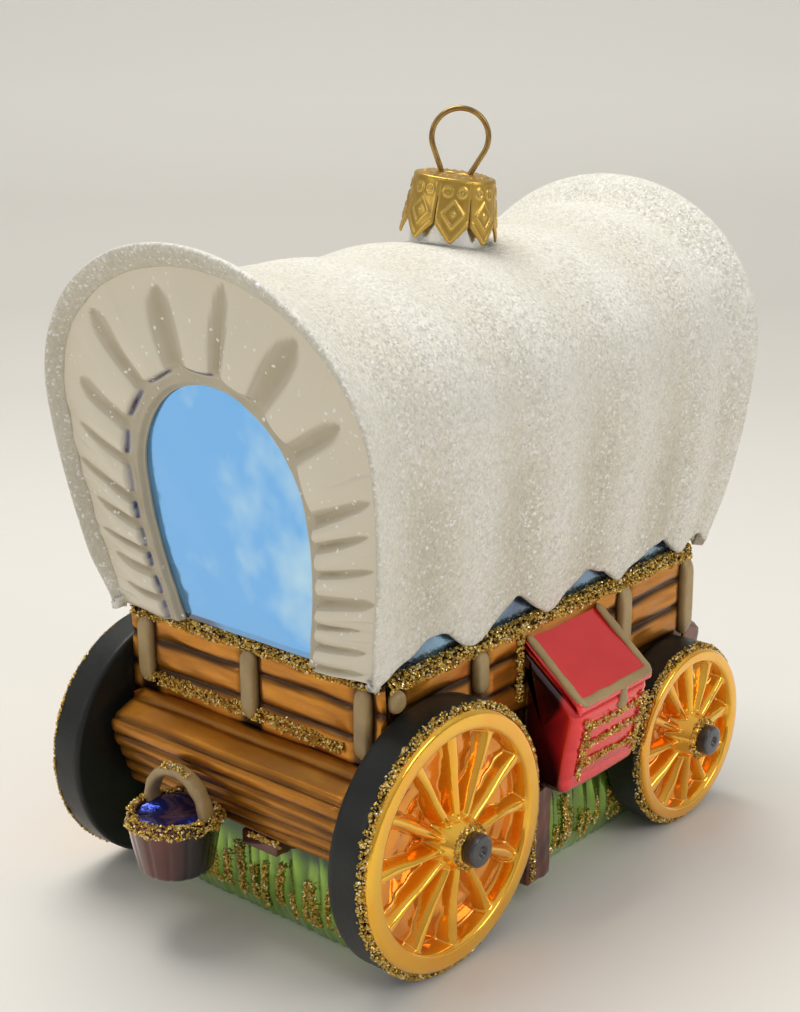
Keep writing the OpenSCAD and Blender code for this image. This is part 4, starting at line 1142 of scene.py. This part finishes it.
beam_line = np.linspace(-9.5, -3.0, 20)
beam_top = box_mm("tail_beam")[1][2]
spots.append(trail(line_of(20, -half_len - trough_len + 2.6, beam_line, beam_top + 0.6), [-1, 0, -0.4], 1.3, 122))
grains("glitter_on_rails", np.concatenate(spots), grain, 1)

spots, hubs = [], []
for k, word in enumerate(("rear_right", "rear_left", "front_right", "front_left")):
    lo, hi = box_mm("tyre_" + word)
    side = -1 if "right" in word else 1
    cx, cz, tyre_r = (lo[0] + hi[0]) / 2, (lo[2] + hi[2]) / 2, (hi[0] - lo[0]) / 2
    a = np.linspace(0, 2 * np.pi, 241)
    rr = tyre_r - 0.42 - 0.22 + 0.12 * ripple(np.cos(a) * 2, np.sin(a) * 2, 130 + k, 6)
    edge = line_of(241, cx + rr * np.cos(a), side * (half_w + tyre_w - 0.28), cz + rr * np.sin(a))
    tilt = line_of(241, 0.75 * np.cos(a), side, 0.75 * np.sin(a))
    spots.append(trail(edge, tilt, 1.35, 140 + k, 10, 0.3))
    hub = np.ptp(box_mm("hub_cap_" + word), axis=0)[0] / 2
    rr = hub + 0.42 + 0.06 * ripple(np.cos(a) * 2, np.sin(a) * 2, 150 + k, 6)
    ring = line_of(241, cx + rr * np.cos(a), side * (half_w + tyre_w + 2.62), cz + rr * np.sin(a))
    hubs.append(trail(ring, tilt, 1.0, 160 + k, 9, 0.3))
grains("glitter_on_tyres", np.concatenate(spots), grain, 2)
grains("glitter_on_hubs", np.concatenate(hubs), grain * 0.9, 3)

spots = []
for side, word in ((-1, "right"), (1, "left")):
    mid_x, half_c, deep, top, foot_z, _ = chest_size(word)
    lip_z = top - lid_fall - 1.6
    front = lambda z: side * (half_w + deep - chest_taper * np.clip((lip_z - z) / (lip_z - foot_z), 0, 1) + 0.22)
    face = [0, side, -0.15]
    z = np.linspace(foot_z + 1.8, lip_z - 1.2, 30)
    for x, wide, seed in ((mid_x - half_c + 2.4, 1.2, 171), (mid_x + half_c - 1.6, 1.3, 172)):
        spots.append(trail(line_of(30, x + 0.2 * ripple(z, 0, seed, 4), front(z), z), face, wide, seed + side, 8))
    for k, drop in enumerate((2.6, 5.6, 8.6)):
        x = np.linspace(mid_x - half_c + 2.6, mid_x + half_c - 1.6, 40)
        zz = lip_z - drop + 0.15 * ripple(x, 0, 180 + k, 4)
        spots.append(trail(line_of(40, x, front(zz), zz), face, 1.15, 190 + k + side, 7.5, 0.4))
    z = np.linspace(rail_z - 11.5, rail_z - 0.5, 30)
    line = line_of(30, mid_x - half_c - 1.5 + 0.25 * ripple(z * 0.6, 0, 5, 4), side * (half_w + 0.42), z)
    spots.append(trail(line, [0, side, 0], 1.5, 200 + side, 8))
    lo, hi = box_mm("brake_block_" + word)
    z = np.linspace(lo[2] + 0.8, hi[2] - 0.6, 30)
    outer = hi[1] if side > 0 else lo[1]
    line = line_of(30, lo[0] + 0.9 + 0.15 * ripple(z, 0, 6, 4), outer, z)
    spots.append(trail(line, [0, side, 0], 1.3, 210 + side, 8))
grains("glitter_on_chests", np.concatenate(spots), grain, 4)

a = np.linspace(0, 2 * np.pi, 121)
ring = line_of(121, bucket_x + (bucket_r - 0.6) * np.cos(a), bucket_y + (bucket_r - 0.6) * np.sin(a),
               bucket_top - 0.08)
spots = [trail(ring, [0, 0, 1], 1.1, 221, 8, 0.35)]
a = np.linspace(np.radians(150), np.radians(330), 60)
ring = line_of(60, bucket_x + (bucket_r + 0.02) * np.cos(a), bucket_y + (bucket_r + 0.02) * np.sin(a),
               bucket_top - 0.8)
spots.append(trail(ring, line_of(60, np.cos(a), np.sin(a), 0.2), 1.3, 222, 8, 0.4))
a = np.radians(np.linspace(66, 118, 20))
line = line_of(20, handle_x - 0.5, bucket_y + (arch_r + 0.6) * np.cos(a), arch_top + (arch_r + 0.6) * np.sin(a))
spots.append(trail(line, [-0.4, 0, 1], 1.3, 223, 7))
grains("glitter_on_bucket", np.concatenate(spots), grain, 5)

spots = []
draw = np.random.default_rng(31)
for end, faces_x in ((-1, True), (1, True), (-1, False), (1, False)):
    span_g = (g_hi[1] - g_lo[1]) / 2 - 3 if faces_x else half_len - 4
    even = np.arange(-span_g, span_g, 2.4)
    places = even + draw.uniform(-0.6, 0.6, len(even))
    for k, c in enumerate(places):
        z0, z1 = draw.uniform(1.2, 3.5), draw.uniform(6, 11.5)
        z = np.linspace(z0, z1, 16)
        lean = c + draw.uniform(-1.2, 1.2) * ((z - z0) / 9) ** 1.5 + 0.25 * ripple(z * 0.8, 0, 300 + k, 4)
        inset = foot_inset * (1 - np.clip(z / tall / foot_share, 0, 1)) ** 1.5 + 0.3
        if faces_x:
            line = line_of(16, end * (g_hi[0] - inset), lean, z)
        else:
            line = line_of(16, lean, end * (g_hi[1] - inset), z)
        spots.append(trail(line, [end, 0, 0] if faces_x else [0, end, 0], draw.uniform(0.9, 1.6), 400 + k, 9, 0.35))
grains("glitter_on_grass", np.concatenate(spots), grain, 6)
